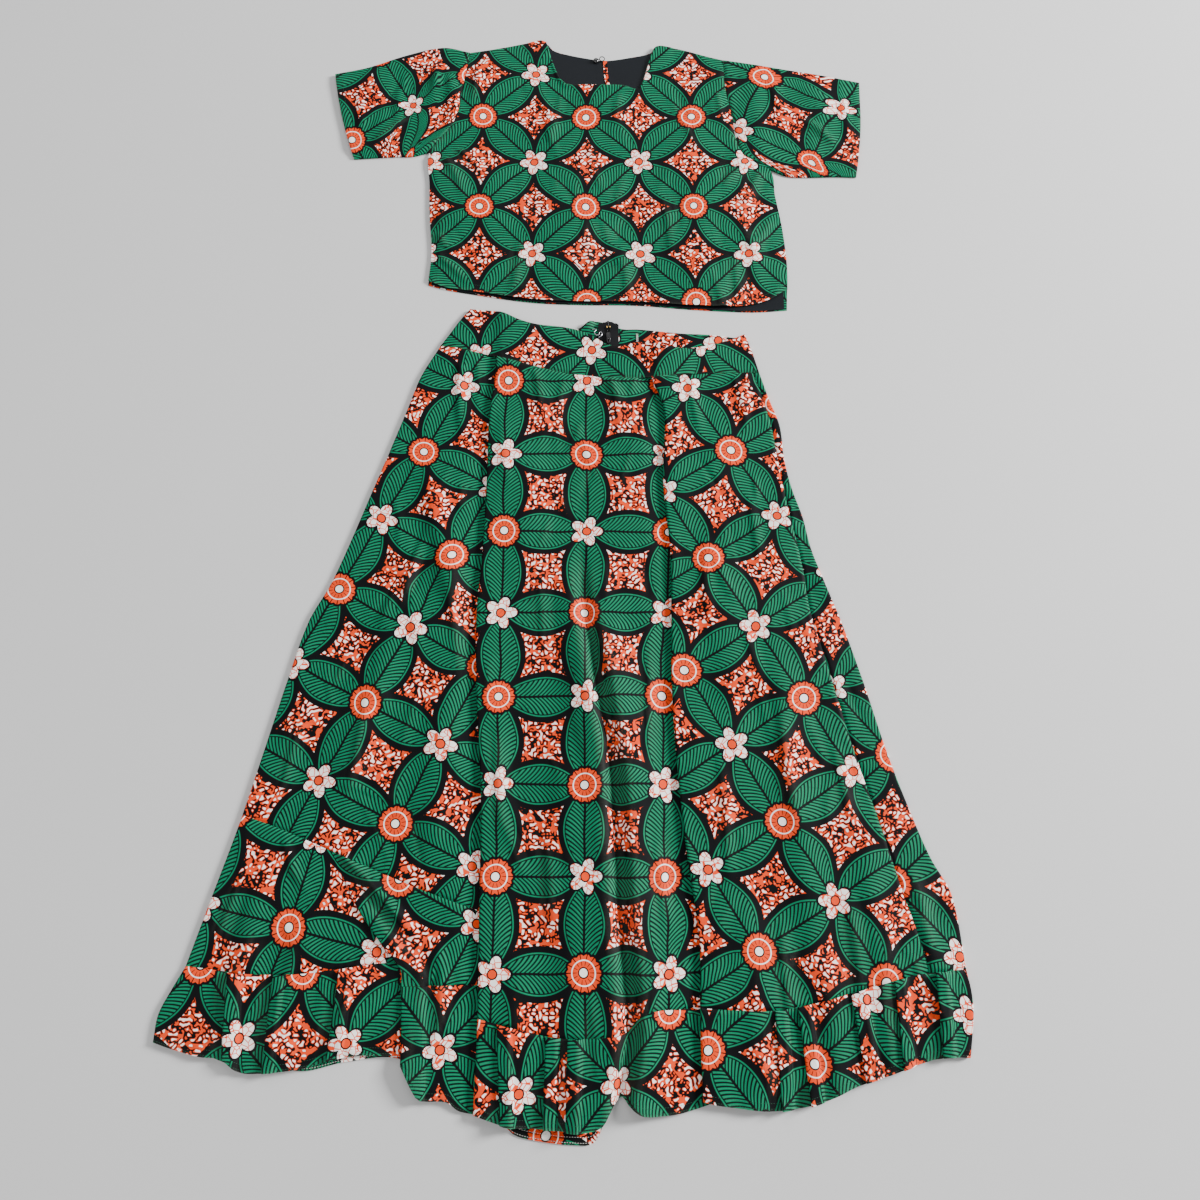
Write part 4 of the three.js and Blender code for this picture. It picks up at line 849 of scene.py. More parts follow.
def leafPrint():
    d = printDesign
    b, given, result = newGroup("leafPrint", {"Place": "Vector"},
                                {"Color": "Color", "Ink": "Float"})
    place = given["Place"]
    drift = b.noise(place, d["wobbleScale"], 1, "Color")
    drift = b.node("ShaderNodeVectorMath", drift, (0.5, 0.5, 0.5), operation="SUBTRACT").outputs[0]
    shift = b.node("ShaderNodeVectorMath", drift, operation="SCALE", Scale=d["wobble"]).outputs[0]
    hand = b.node("ShaderNodeVectorMath", place, shift, operation="ADD").outputs[0]
    flat = b.node("ShaderNodeSeparateXYZ", hand)
    turned = 0.7071 / d["spacing"]  # the lattice lies at 45 degrees
    x = b.times(b.add(flat.outputs[0], flat.outputs[1]), turned)
    y = b.times(b.minus(flat.outputs[1], flat.outputs[0]), turned)

    def around(value, shift):  # distance from the lattice's lines, or from midway
        part = b.calc("FRACT", b.add(value, shift))
        return b.times(b.minus(part, 0.5), d["spacing"])
    midX, midY, nodeX, nodeY = around(x, 0.0), around(y, 0.0), around(x, 0.5), around(y, 0.5)
    half, width = d["spacing"] / 2, d["leafHalfWidth"]
    radius = (half ** 2 + width ** 2) / (2 * width)

    def leaf(along, across):  # a leaf is where two circles overlap
        beside = b.add(b.absolute(across), radius - width)
        size = b.calc("SQRT", b.add(b.times(along, along), b.times(beside, beside)))
        return b.minus(size, radius)
    flatLeaf, tallLeaf = leaf(midX, nodeY), leaf(midY, nodeX)
    isTall = b.calc("LESS_THAN", tallLeaf, flatLeaf)
    edge = b.calc("MINIMUM", flatLeaf, tallLeaf)
    along, across = b.pick(isTall, midX, midY), b.pick(isTall, nodeY, nodeX)
    outward = b.absolute(across)
    slant = b.minus(along, b.times(outward, d["veinSlant"]))
    slant = b.add(slant, b.times(b.times(outward, outward), d["veinBend"]))
    vein = b.calc("FRACT", b.times(slant, 1 / d["veinPitch"]))
    vein = b.absolute(b.minus(vein, 0.5))
    veins = b.times(b.below(vein, d["veinShare"], 0.05), b.below(edge, -d["border"]))
    line = b.below(b.absolute(b.add(edge, d["border"])), d["borderLine"], 0.2)
    tone = b.paint(b.noise(place, d["toneScale"], 3), d["green"], d["shadeGreen"])
    leaves = b.paint(b.calc("MAXIMUM", veins, line), tone, d["deepGreen"])
    rib = b.below(outward, d["rib"])

    # Ground of short dark squiggles on orange, with white cores between them
    winding = b.absolute(b.minus(b.noise(place, d["windingScale"], 0), 0.5))
    unbroken = b.below(b.noise(place, d["breakScale"], 0), d["breakShare"], 0.01)
    squiggle = b.times(b.below(winding, d["squiggle"], 0.01), unbroken)
    ground = b.paint(b.below(winding, d["core"], 0.01), d["white"], d["orange"])
    ground = b.paint(squiggle, ground, d["ink"])

    # Flowers: an orange sun, or a white five-petalled star, by turns
    parity = b.add(b.calc("FLOOR", b.add(x, 0.5)), b.calc("FLOOR", b.add(y, 0.5)))
    isStar = b.calc("GREATER_THAN", b.calc("FRACT", b.times(parity, 0.5)), 0.25)
    turn = b.calc("ARCTAN2", nodeY, nodeX)
    away = b.calc("SQRT", b.add(b.times(nodeX, nodeX), b.times(nodeY, nodeY)))
    scallop = b.absolute(b.calc("COSINE", b.times(turn, d["scallops"])))
    scallop = b.times(scallop, d["scallopDepth"])
    petal = b.times(b.absolute(b.calc("COSINE", b.times(turn, 2.5))), d["starPetal"])
    rim = b.pick(isStar, b.add(scallop, d["sunSize"]), b.add(petal, d["starSize"]))
    inside = b.minus(away, rim)
    ray = b.absolute(b.calc("SINE", b.times(turn, d["scallops"])))
    rays = b.times(b.below(ray, d["rayWidth"], 0.05), b.below(b.times(away, -1), -d["rayStart"]))
    sun = b.paint(rays, d["orange"], d["ink"])
    ring = b.absolute(b.add(away, -d["sunRing"]))
    sun = b.paint(b.below(ring, d["borderLine"], 0.2), sun, d["white"])
    starVeins = b.below(b.cracks(place, d["starVeinScale"]), d["starVein"], 0.02)
    bloom = b.paint(isStar, sun, b.paint(starVeins, d["white"], d["orange"]))
    bloom = b.paint(b.below(away, d["eyeLine"], 0.2), bloom, d["ink"])
    bloom = b.paint(b.below(away, d["eye"], 0.2), bloom, b.paint(isStar, d["white"], d["orange"]))

    picture = b.paint(b.below(edge, 0.0), ground, leaves)
    outlines = b.below(b.absolute(edge), d["outline"])
    ribs = b.times(rib, b.below(edge, -d["border"]))
    picture = b.paint(b.calc("MAXIMUM", outlines, ribs), picture, d["ink"])
    picture = b.paint(b.below(inside, 0.0), picture, bloom)
    flowerLine = b.below(b.absolute(inside), d["flowerLine"])
    picture = b.paint(flowerLine, picture, d["ink"])
    crackle = b.times(b.below(b.cracks(hand, d["crackScale"]), d["crackWidth"], 0.008),
                      b.below(b.noise(place, d["crackPatchScale"], 1), d["crackPatches"], 0.05))
    picture = b.paint(b.times(crackle, d["crackInk"]), picture, d["ink"])
    b.feed(result["Color"], picture)
    b.feed(result["Ink"], b.calc("MAXIMUM", outlines, flowerLine))
    return b.tree


weaveLook = {"slubSize": (0.02, 0.9), "slubShade": 0.22, "threadShade": 0.05, "shade": 0.765,
             "slubHeight": 0.9, "threadHeight": 0.5}


def plainWeave():  # threads over and under, with thicker threads here and there
    w = weaveLook
    b, given, result = newGroup("plainWeave", {"Place": "Vector", "Pitch": "Float"},
                                {"Shade": "Float", "Height": "Float"})
    flat = b.node("ShaderNodeSeparateXYZ", given["Place"])
    rate = b.calc("DIVIDE", math.pi, given["Pitch"])
    warp = b.calc("SINE", b.times(flat.outputs[0], rate))
    weft = b.calc("SINE", b.times(flat.outputs[1], rate))
    threads = b.add(b.times(b.times(warp, weft), 0.5), 0.5)
    long = b.node("ShaderNodeMapping", given["Place"], Scale=(*w["slubSize"], 1))
    tall = b.node("ShaderNodeMapping", given["Place"], Scale=(*w["slubSize"][::-1], 1))
    slub = b.add(b.noise(long.outputs[0], 1.0, 2), b.noise(tall.outputs[0], 1.0, 2))
    b.feed(result["Shade"], b.add(b.times(slub, w["slubShade"]),
                                  b.add(b.times(threads, w["threadShade"]), w["shade"])))
    b.feed(result["Height"], b.add(b.times(threads, w["threadHeight"]),
                                   b.times(slub, w["slubHeight"])))
    return b.tree


wearAndHighlightLook = {"patchScale": 0.018, "fineScale": 0.4}


def wearAndPaintedHighlight():  # where cloth is rubbed, and where a highlight is painted on its folds and edges, in patches
    b, given, result = newGroup("wearAndPaintedHighlight", {"Place": "Vector", "Rub": "Float"},
                                {"Fade": "Float", "Dust": "Float"})
    patches = b.noise(given["Place"], wearAndHighlightLook["patchScale"], 3)
    fine = b.noise(given["Place"], wearAndHighlightLook["fineScale"], 2)
    b.feed(result["Fade"], b.times(b.times(given["Rub"], b.add(fine, 0.1)), b.add(patches, 0.2)))
    b.feed(result["Dust"], patches)
    return b.tree


groups = {"leafPrint": leafPrint(), "plainWeave": plainWeave(), "wearAndPaintedHighlight": wearAndPaintedHighlight()}


def newMaterial(name):
    material = bpy.data.materials.new(name)
    material.use_nodes = True
    bench = Bench(material.node_tree)
    return material, bench, material.node_tree.nodes["Principled BSDF"]


def place(bench, group, **values):
    node = bench.tree.nodes.new("ShaderNodeGroup")
    node.node_tree = groups[group]
    for key, value in values.items():
        bench.feed(node.inputs[key], value)
    return node.outputs


# Dust lightens and dulls cloth, ink is glossier, and rubbed places fade towards a grey-green tint;
# the same fade paints a highlight on hems and fold crests
clothLook = {"dustTint": 1.35, "dustRough": 0.16, "inkGloss": 0.06, "fade": 0.3,
             "fadeAndHighlightTint": colour(120, 128, 112), "threadHeight": 0.00015, "sheenRough": 0.5,
             "specular": 0.1}


def clothMaterial(name, tint=None, roughness=0.7, pitch=0.6, bumps=0.3, sheen=0.01, fadeAndHighlightTint=None):
    look = clothLook
    material, b, shader = newMaterial(name)
    flat = b.node("ShaderNodeUVMap", uv_map="cloth").outputs[0]
    inMillimetres = b.node("ShaderNodeVectorMath", flat, operation="SCALE",
                           Scale=1000.0).outputs[0]
    weave = place(b, "plainWeave", Place=inMillimetres, Pitch=pitch)
    rubAndHighlight = b.node("ShaderNodeAttribute", attribute_name="rubAndHighlight").outputs["Fac"]
    wearAndHighlight = place(b, "wearAndPaintedHighlight", Place=inMillimetres, Rub=rubAndHighlight)
    if tint is None:
        drawn = place(b, "leafPrint", Place=inMillimetres)
        base, ink = drawn["Color"], drawn["Ink"]
    else:
        base = b.paint(wearAndHighlight["Dust"], tint, tinted(tint, look["dustTint"]))
        ink = None
    # Painted highlight and wear: rubbed edges and sharp bends are mixed towards the fade tint,
    # which mostly lightens the print
    base = b.paint(b.times(wearAndHighlight["Fade"], look["fade"]), base, fadeAndHighlightTint or look["fadeAndHighlightTint"])
    tones = b.node("ShaderNodeHueSaturation", Color=base, Value=weave["Shade"])
    b.feed(shader.inputs["Base Color"], tones.outputs[0])
    rough = b.add(b.times(wearAndHighlight["Dust"], look["dustRough"]), roughness - look["dustRough"] / 2)
    if ink is not None:
        rough = b.minus(rough, b.times(ink, look["inkGloss"]))
    b.feed(shader.inputs["Roughness"], rough)
    relief = b.node("ShaderNodeBump", Strength=bumps, Distance=look["threadHeight"],
                    Height=weave["Height"])
    b.feed(shader.inputs["Normal"], relief.outputs[0])
    shader.inputs["Sheen Weight"].default_value = sheen
    shader.inputs["Sheen Roughness"].default_value = look["sheenRough"]
    shader.inputs["Specular IOR Level"].default_value = look["specular"]
    return material


hardLook = {"grainTint": 0.75, "grainRough": 0.2, "grainHeight": 0.0001}


def hardMaterial(name, tint, roughness, metallic=0.0, grainScale=900.0, bumps=0.15, coat=0.0):
    look = hardLook
    material, b, shader = newMaterial(name)
    at = b.node("ShaderNodeTexCoord").outputs["Object"]
    grainy = b.noise(at, grainScale, 3)
    b.feed(shader.inputs["Base Color"], b.paint(grainy, tinted(tint, look["grainTint"]), tint))
    b.feed(shader.inputs["Roughness"], b.add(b.times(grainy, look["grainRough"]),
                                             roughness - look["grainRough"] / 2))
    relief = b.node("ShaderNodeBump", Strength=bumps, Distance=look["grainHeight"],
                    Height=grainy)
    b.feed(shader.inputs["Normal"], relief.outputs[0])
    shader.inputs["Metallic"].default_value = metallic
    shader.inputs["Coat Weight"].default_value = coat
    return material


materials.update({
    "print": clothMaterial("waxPrintCotton"),
    "lining": clothMaterial("slateLining", colour(15, 18, 22), 0.55, 0.4, 0.25, 0.02,
                            colour(40, 44, 50)),
    "tape": clothMaterial("blackTape", colour(17, 18, 20), 0.8, 1.1, 0.5, 0.05,
                          colour(50, 50, 52)),
    "cord": hardMaterial("blackCord", colour(15, 15, 17), 0.75, 0.0, 2500.0, 0.6),
    "button": hardMaterial("polishedButton", colour(14, 14, 16), 0.22, 0.0, 300.0, 0.05, 0.6),
    "enamel": hardMaterial("blackEnamel", colour(26, 26, 28), 0.4, 0.7, 600.0, 0.1, 0.2),
    "brass": hardMaterial("brassStop", colour(196, 160, 96), 0.35, 1.0),
    "wire": hardMaterial("brightWire", colour(196, 198, 202), 0.28, 1.0, 1200.0),
    "darkThread": hardMaterial("greenThread", colour(18, 84, 58), 0.8, 0.0, 4000.0, 0.4),
    "whiteThread": hardMaterial("whiteThread", colour(226, 224, 216), 0.8, 0.0, 4000.0, 0.4)})
print("stage: print, weave and wear made")

# Floor and studio light
studio = {"floor": 4.0, "floorTint": colour(206, 206, 206), "floorShade": 0.96,
          "floorScale": 2.5, "floorRough": 0.9,
          "sky": (colour(244, 244, 244), 0.5),
          "lamps": [((4.3, 1.15, 1.95), (0, -0.1, 0), 1.2, 615.0),
                    ((-1.9, -1.4, 2.2), (0, -0.2, 0), 2.0, 29.0),
                    ((-0.2, 2.1, 2.1), (0, 0.1, 0), 1.6, 24.0)]}


def floorMaterial():
    material, b, shader = newMaterial("paleFloor")
    at = b.node("ShaderNodeTexCoord").outputs["Object"]
    tint = studio["floorTint"]
    b.feed(shader.inputs["Base Color"], b.paint(b.noise(at, studio["floorScale"], 2),
                                                tinted(tint, studio["floorShade"]), tint))
    shader.inputs["Roughness"].default_value = studio["floorRough"]
    return material


half = studio["floor"]
floorMesh = bpy.data.meshes.new("floor")
floorMesh.from_pydata([(-half, -half, 0), (half, -half, 0), (half, half, 0), (-half, half, 0)],
                      [], [(0, 1, 2, 3)])
floor = newObject("floor", floorMesh)
floorMesh.materials.append(floorMaterial())

world = bpy.data.worlds.new("studio")
world.use_nodes = True
world.node_tree.nodes["Background"].inputs[0].default_value = studio["sky"][0]
world.node_tree.nodes["Background"].inputs[1].default_value = studio["sky"][1]
bpy.context.scene.world = world
for number, (at, target, size, watts) in enumerate(studio["lamps"]):
    lampData = bpy.data.lights.new(f"softLamp{number}", "AREA")
    lampData.size = size
    lampData.energy = watts
    lamp = newObject(f"softLamp{number}", lampData)
    lamp.location = at
    lamp.rotation_euler = (Vector(target) - Vector(at)).to_track_quat("-Z", "Y").to_euler()
print("stage: floor and light")


def level(height):
    return lambda x, y: height + 0 * x + 0 * y


backRelief = {"lift": 0.25, "swell": 0.09}


def underside(x, y):  # a back layer on the surface, hardly uneven
    return floorLayer + backRelief["lift"] + backRelief["swell"] * swell(x, y)


def makeFrontLeft():
    waist, join = upAt(waistSeam, -halfSeam), upAt(joinSeam, halfSeam)
    side = line(skirtLeftSide, waistSeam[0][1], joinSeam[0][1])
    fold = foldBetween("left", waist, join, waistFolds, waistFolds)
    columns = rolledEdge(side, -1, floorLayer, leg, waist, join)
    columns += toFold(beside(side, rollReach), fold, growing(tuck), waist, join,
                      sewn(leftHeight, waist, join))
    addCloth("frontLeft", gridOf(columns, down(690)), edges=(True, False))


def makeFrontLeftLower():
    join = upAt(joinSeam, -halfSeam)
    foot, foldedFoot = upAt(leftRuffleSeam, halfSeam), upAt(foldedRuffleSeam, halfSeam)
    side = line(skirtLeftSide, joinSeam[0][1], leftRuffleSeam[0][1])
    own = line(lowerFold, lowerFold[0][1], lowerFoldMeets)
    fold = foldBetween("left", join, foldedFoot)

    def stepFoot(x, beyond=0):
        return lerp(foot(x), foldedFoot(x), beyond)

    def growth(t):
        return rise(t, *grownFold["grows"])
    upper, lower = sewn(leftHeight, join, foot), sewn(leftHeight, join, foldedFoot)
    columns = rolledEdge(side, -1, floorLayer, leg, join, foot)
    columns += stretch(beside(side, rollReach), beside(own, -grownFold["beside"]), join, foot,
                       upper)
    start = len(columns)
    columns += pleat(lambda t: own(t)[0], grownFold["width"], growth, join, stepFoot, leftHeight,
                     drawnBack=grownFold["drawnBack"])
    folded = start, start + grownFold["columns"]
    columns += toFold(beside(own, grownFold["width"] + grownFold["beside"]), fold, tuck, join,
                      foldedFoot, lower)
    addCloth("frontLeftLower", gridOf(columns, down(190)), edges=(False, False), folded=folded)


# Turned-up hem of the ruffle, with two rows of stitches that draw it in
hemFold = {"width": (9, 12), "height": 0.5, "rows": (2.5, 8.5), "rowDepth": 0.25,
           "rowWidth": 1.3, "ripple": 0.35, "rippleLength": 4.3, "rippleAt": 6,
           "rippleReach": 14, "seam": 1.4}


def hemmed(height, top, hem):  # ruffle: its seam above, and its hem
    h = hemFold

    def withHem(x, y):
        fromHem = y - hem(x)
        turned = 1 - rise(fromHem, *h["width"])
        rows = sum(bump(fromHem - at, h["rowWidth"]) for at in h["rows"])
        ripple = h["ripple"] * np.sin(x / h["rippleLength"] + 1.7 * np.sin(x / 29)) * np.exp(
            -np.abs(fromHem - h["rippleAt"]) / h["rippleReach"])
        return (height(x, y) + besideSeam(x, y - top(x), h["seam"]) + h["height"] * turned
                - h["rowDepth"] * rows + ripple)
    return withHem


def makeRuffleLeft():
    top, foldedTop = upAt(leftRuffleSeam, -halfSeam), upAt(foldedRuffleSeam, -halfSeam)
    hem, lowHem = upAt(leftHem), upAt(foldedHem)
    side = line(ruffleLeftSide, ruffleLeftSide[0][1], leftHem[0][1])
    own = line(lowerFold, lowerFoldMeets, lowerFold[-1][1])
    fold = foldBetween("left", foldedTop, lowHem)

    def stepTop(x, beyond=0):
        return lerp(top(x) - seam, foldedTop(x), beyond)

    def stepHem(x, beyond=0):
        return lerp(hem(x), lowHem(x), beyond)
    upper, lower = hemmed(leftHeight, top, hem), hemmed(leftHeight, foldedTop, lowHem)
    columns = rolledEdge(side, -1, floorLayer, leg, top, hem)
    columns += pleated(beside(side, rollReach), beside(own, -grownFold["beside"]), leftPleats,
                       top, hem, upper)
    columns += pleat(lambda t: own(t)[0], grownFold["width"], fully, stepTop, stepHem, leftHeight)
    columns += toFold(beside(own, grownFold["width"] + pleatShape["fall"]), fold, tuck,
                      foldedTop, lowHem, lower)
    addCloth("ruffleLeft", gridOf(columns, down(100, 3)), edges=(False, True))


def makeFrontCentre():
    waist, foot = upAt(waistSeam, -halfSeam), upAt(centreRuffleSeam, halfSeam)
    left, right = (foldBetween(side, waist, foot, waistFolds) for side in ("left", "right"))
    columns = rolledEdge(left, -1, legLayer, growing(leg), waist, foot)
    columns += toFold(beside(left, rollReach), right, growing(tuck), waist, foot,
                      sewn(centreHeight, waist, foot))
    addCloth("frontCentre", gridOf(columns, down(870)), edges=(True, False))


def makeRuffleCentre():
    top, hem = upAt(centreRuffleSeam, -halfSeam), upAt(centreHem)
    left, valley, right = (foldBetween(side, top, hem) for side in folds)
    height = hemmed(centreHeight, top, hem)
    columns = rolledEdge(left, -1, legLayer, leg, top, hem)
    columns += pleated(beside(left, rollReach), beside(valley, -bank), centrePleats, top, hem,
                       height)
    columns += toFold(beside(valley, -bank), right, tuck, top, hem, height, skip=1)
    addCloth("ruffleCentre", gridOf(columns, down(100, 3)), edges=(False, True))


sideSeam = {"closeTo": 6, "step": 1.6}


def makeRightPanels():
    waist, foot = upAt(waistSeam, -halfSeam), upAt(rightRuffleSeam, halfSeam)
    fold = foldBetween("right", waist, foot, waistFolds)
    seamline, side = whole(sidePanelSeam), whole(skirtRightSide)

    def height(x, y):
        across = sewn(rightHeight, waist, foot)(x, y)
        return across + besideSeam(y, x - acrossAt(sidePanelSeam, y))
    before, after = beside(seamline, -sideSeam["closeTo"]), beside(seamline, sideSeam["closeTo"])
    columns = rolledEdge(fold, -1, legLayer, growing(leg), waist, foot)
    columns += stretch(beside(fold, rollReach), before, waist, foot, height)
    columns += stretch(before, beside(seamline, -halfSeam), waist, foot, height,
                       step=sideSeam["step"], skip=1)
    addCloth("frontRight", gridOf(columns, down(840)), edges=(True, False))
    columns = stretch(beside(seamline, halfSeam), after, waist, foot, height,
                      step=sideSeam["step"])
    columns += stretch(after, beside(side, -rollReach), waist, foot, height, skip=1)
    columns += rolledEdge(side, 1, floorLayer, leg, waist, foot)
    addCloth("sideRight", gridOf(columns, down(800)), edges=(True, False))


def makeRuffleRight():
    top, hem = upAt(rightRuffleSeam, -halfSeam), upAt(rightHem)
    fold, side = foldBetween("right", top, hem), whole(ruffleRightSide)
    height = hemmed(rightHeight, top, hem)
    columns = rolledEdge(fold, -1, legLayer, leg, top, hem)
    columns += stretch(beside(fold, rollReach), beside(fold, besideRoll), top, hem, height)
    columns += pleated(beside(fold, besideRoll), beside(side, -rollReach), rightPleats, top, hem,
                       height, skip=1)
    columns += rolledEdge(side, 1, floorLayer, leg, top, hem)
    addCloth("ruffleRight", gridOf(columns, down(100, 3)), edges=(False, True))


backRuffle = {"hemHeight": 0.4, "step": 6, "panelStep": 12}


def makeSkirtBack():
    hem = upAt(backHem)
    seamMiddle = backRuffleSeam[1][1]

    def ruffleHeight(x, y):
        turned = 1 - rise(y - hem(x), *hemFold["width"])
        return underside(x, y) + backRuffle["hemHeight"] * turned

    def half(side, panel, ruffle, panelSide, ruffleSide, waistline, seamline):
        outer = 0 if side < 0 else 1
        panelEdge = beside(line(panelSide, waistline[outer][1], seamline[outer][1]),
                           -side * backInset)
        ruffleEdge = beside(line(ruffleSide, seamline[outer][1], ruffleSide[-1][1]),
                            -side * backInset)
        panelMiddle = vertical(centreBack + side * halfSeam, bandBackFoot[1][1], seamMiddle)
        ruffleMiddle = vertical(centreBack + side * halfSeam, seamMiddle, hem(centreBack))
        order = 1 if side < 0 else -1
        columns = stretch(*(panelEdge, panelMiddle)[::order], straight(waistline, -halfSeam),
                          straight(seamline, halfSeam), underside, step=backRuffle["panelStep"])
        addCloth(panel, gridOf(columns, down(820, 12)), edges=(False, False))
        columns = stretch(*(ruffleEdge, ruffleMiddle)[::order], straight(seamline, -halfSeam),
                          hem, ruffleHeight, step=backRuffle["step"])
        addCloth(ruffle, gridOf(columns, down(100, 5)), edges=(False, True))
    half(-1, "backLeft", "ruffleBackLeft", skirtLeftSide, ruffleLeftSide, bandBackFoot[:2],
         backRuffleSeam[:2])
    half(1, "backRight", "ruffleBackRight", skirtRightSide, ruffleRightSide, bandBackFoot[1:],
         backRuffleSeam[1:])


bandRelief = {"topEdge": 0.7, "edgeWidth": 3, "ripple": 0.5, "rippleLength": 17, "swell": 0.7,
              "seam": 0.8, "backLift": 0.1, "backEdge": 0.5}


def makeWaistband():
    b = bandRelief
    foot, top = upAt(waistSeam, halfSeam), upAt(bandFrontTop)
    left, right = whole(bandLeftEnd), whole(bandRightEnd)

    def height(x, y):
        clear = rise(x - acrossAt(bandLeftEnd, y), *edgeFade["band"]) * rise(
            acrossAt(bandRightEnd, y) - x, *edgeFade["band"])
        uneven = b["ripple"] * np.sin(x / b["rippleLength"] + 1.3 * np.sin(x / 47) + y / 60)
        uneven = clear * (uneven + b["swell"] * swell(x, y))
        edge = b["topEdge"] * bump(top(x) - y, b["edgeWidth"])
        return (loft + foldHeight(bandFolds, x, y) + uneven - edge
                + besideSeam(x, y - foot(x), b["seam"]))
    columns = rolledEdge(left, -1, floorLayer, leg, top, foot)
    columns += stretch(beside(left, rollReach), beside(right, -rollReach), top, foot, height)
    columns += rolledEdge(right, 1, floorLayer, leg, top, foot)
    addCloth("bandFront", gridOf(columns, down(60, 3)))
    backTop = upAt(bandBackTop)
    outerLeft, middle, outerRight = bandBackFoot

    def curl(x, y):
        across = rise(x, bandCurl["from"], bandCurl["peak"]) * (
            1 - rise(x, bandCurl["peak"], bandCurl["to"]))
        return (floorLayer + b["backLift"] + bandCurl["height"] * across
                * rise(y, bandCurl["foot"], bandCurl["top"])
                + b["backEdge"] * bump(backTop(x) - y, b["edgeWidth"]))
    leftInner = beside(line(bandLeftEnd, bandBackTop[0][1], outerLeft[1]), backInset)
    rightInner = beside(line(bandRightEnd, bandBackTop[-1][1], outerRight[1]), -backInset)
    columns = stretch(leftInner, vertical(centreBack - halfSeam, backTop(centreBack), middle[1]),
                      backTop, straight([outerLeft, middle], halfSeam), curl)
    addCloth("bandBackLeft", gridOf(columns, down(65)), edges=(True, False))
    columns = stretch(vertical(centreBack + halfSeam, backTop(centreBack), middle[1]), rightInner,
                      backTop, straight([middle, outerRight], halfSeam), curl)
    addCloth("bandBackRight", gridOf(columns, down(65)), edges=(True, False))


def insideTop(x, y):  # distance from the nearer side of the top
    return np.minimum(x - acrossAt(topLeftEdge, y), acrossAt(topRightEdge, y) - x)


def onEdges(x, y, t):  # 0 on a sewn shoulder or side, 1 away from it
    slope = shoulderSlope
    onNeck = rise(x, slope["neckLeft"] - slope["run"], slope["neckLeft"]) * (
        1 - rise(x, slope["neckRight"], slope["neckRight"] + slope["run"]))
    shoulder = np.maximum(onNeck, rise(t, 0, slope["width"]))
    side = np.maximum(rise(insideTop(x, y), 0, sideSlope["width"]),
                      rise(y, sideSlope["foot"], sideSlope["top"]))
    return np.minimum(shoulder, side)


def topSide(rows, sleeve, hem):
    def at(t):
        shoulder, armpit = sleeve[0][2], sleeve[0][4]
        y = np.where(t < armholeShare, lerp(shoulder, armpit, t / armholeShare),
                     lerp(armpit, hem, (t - armholeShare) / (1 - armholeShare)))
        return acrossAt(rows, y), y
    return at


# Relief of the top's edges: rolled neckline, hem and the armhole's seam
topEdges = {
    "neckRoll": 0.9, "rollAt": 5, "rollWidth": 3.5, "neckDip": 1.3, "dipWidth": 1.6,
    "neck": (-92, -84, 86, 94), "hemHeight": 0.45, "hemWidth": (9.5, 12.5), "hemRipple": 0.3,
    "rippleLength": 5.1, "rippleAt": 8, "rippleReach": 12, "armhole": 0.9, "armholeUp": (640, 700),
    "lowest": 2.6, "backStep": 8}


def makeTop():
    e = topEdges
    neck, hem = upAt(frontNeck), upAt(frontTopHem)
    left = topSide(topLeftEdge, leftSleeve, frontTopHem[0][1])
    right = topSide(topRightEdge, rightSleeve, frontTopHem[-1][1])
    first, last = frontNeck[0][0], frontNeck[-1][0]
    knots = (np.array([row[0] for row in frontNeck], float) - first) / (last - first)
    counts = [max(1, math.ceil((b - a) * (last - first) / gridStep))
              for a, b in zip(knots, knots[1:])]
    parts = np.concatenate([np.linspace(a, b, n, endpoint=False)
                            for a, b, n in zip(knots, knots[1:], counts)] + [[1.0]])
    t = down(440, 3.6)
    grid = gridOf(spread(left, right, parts, neck, hem, level(0)), t)
    x, y = grid[:, :, 0], grid[:, :, 1]
    fromTop = np.linalg.norm(grid - grid[:1], axis=2)
    fromHem = y - hem(x)
    inward = insideTop(x, y)
    clear = rise(inward, *edgeFade["topSide"]) * rise(fromTop, *edgeFade["neck"])
    height = loft + foldHeight(topFolds, x, y) + clear * topFineHeight(x, y)
    inNeck = rise(x, *e["neck"][:2]) * (1 - rise(x, *e["neck"][2:]))
    height += e["neckRoll"] * inNeck * bump(fromTop - e["rollAt"], e["rollWidth"])
    height -= e["neckDip"] * inNeck * bump(fromTop, e["dipWidth"])
    height += e["hemHeight"] * (1 - rise(fromHem, *e["hemWidth"]))
    height += e["hemRipple"] * np.sin(x / e["rippleLength"] + 1.5 * np.sin(x / 33)) * np.exp(
        -np.abs(fromHem - e["rippleAt"]) / e["rippleReach"])
    height += e["armhole"] * besideSeam(y, inward, 1.2) * rise(y, *e["armholeUp"])
    full = lerp(edgeLayer, height, onEdges(x, y, t[:, None] + 0 * x))
    grid[:, :, 2] = np.maximum(full, e["lowest"])
    addCloth("topFront", grid)
    backHemline, backNeckline = upAt(backTopHem), upAt(backNeck)

    def opening(side):
        def at(t):
            y = lerp(slitLine[0][1], slitLine[-1][1], t)
            gap = halfSeam + slit["open"] * rise(y, slit["closed"], slit["foot"])
            return acrossAt(slitLine, y) + side * gap, y
        return at
    backs = [("topBackLeft", topSide(topLeftEdge, leftSleeve, backTopHem[0][1]), opening(-1)),
             ("topBackRight", opening(1), topSide(topRightEdge, rightSleeve, backTopHem[-1][1]))]
    for name, start, end in backs:
        columns = stretch(start, end, backNeckline, backHemline, level(floorLayer),
                          step=e["backStep"])
        addCloth(name, gridOf(columns, down(430, 9)))


liningRelief = {"lift": 0.25, "wave": 0.22, "edge": (1, 9)}
slitStrip = {"lift": 0.95, "width": 3.2, "short": 1.5, "wave": 0.3, "thickness": 0.5}


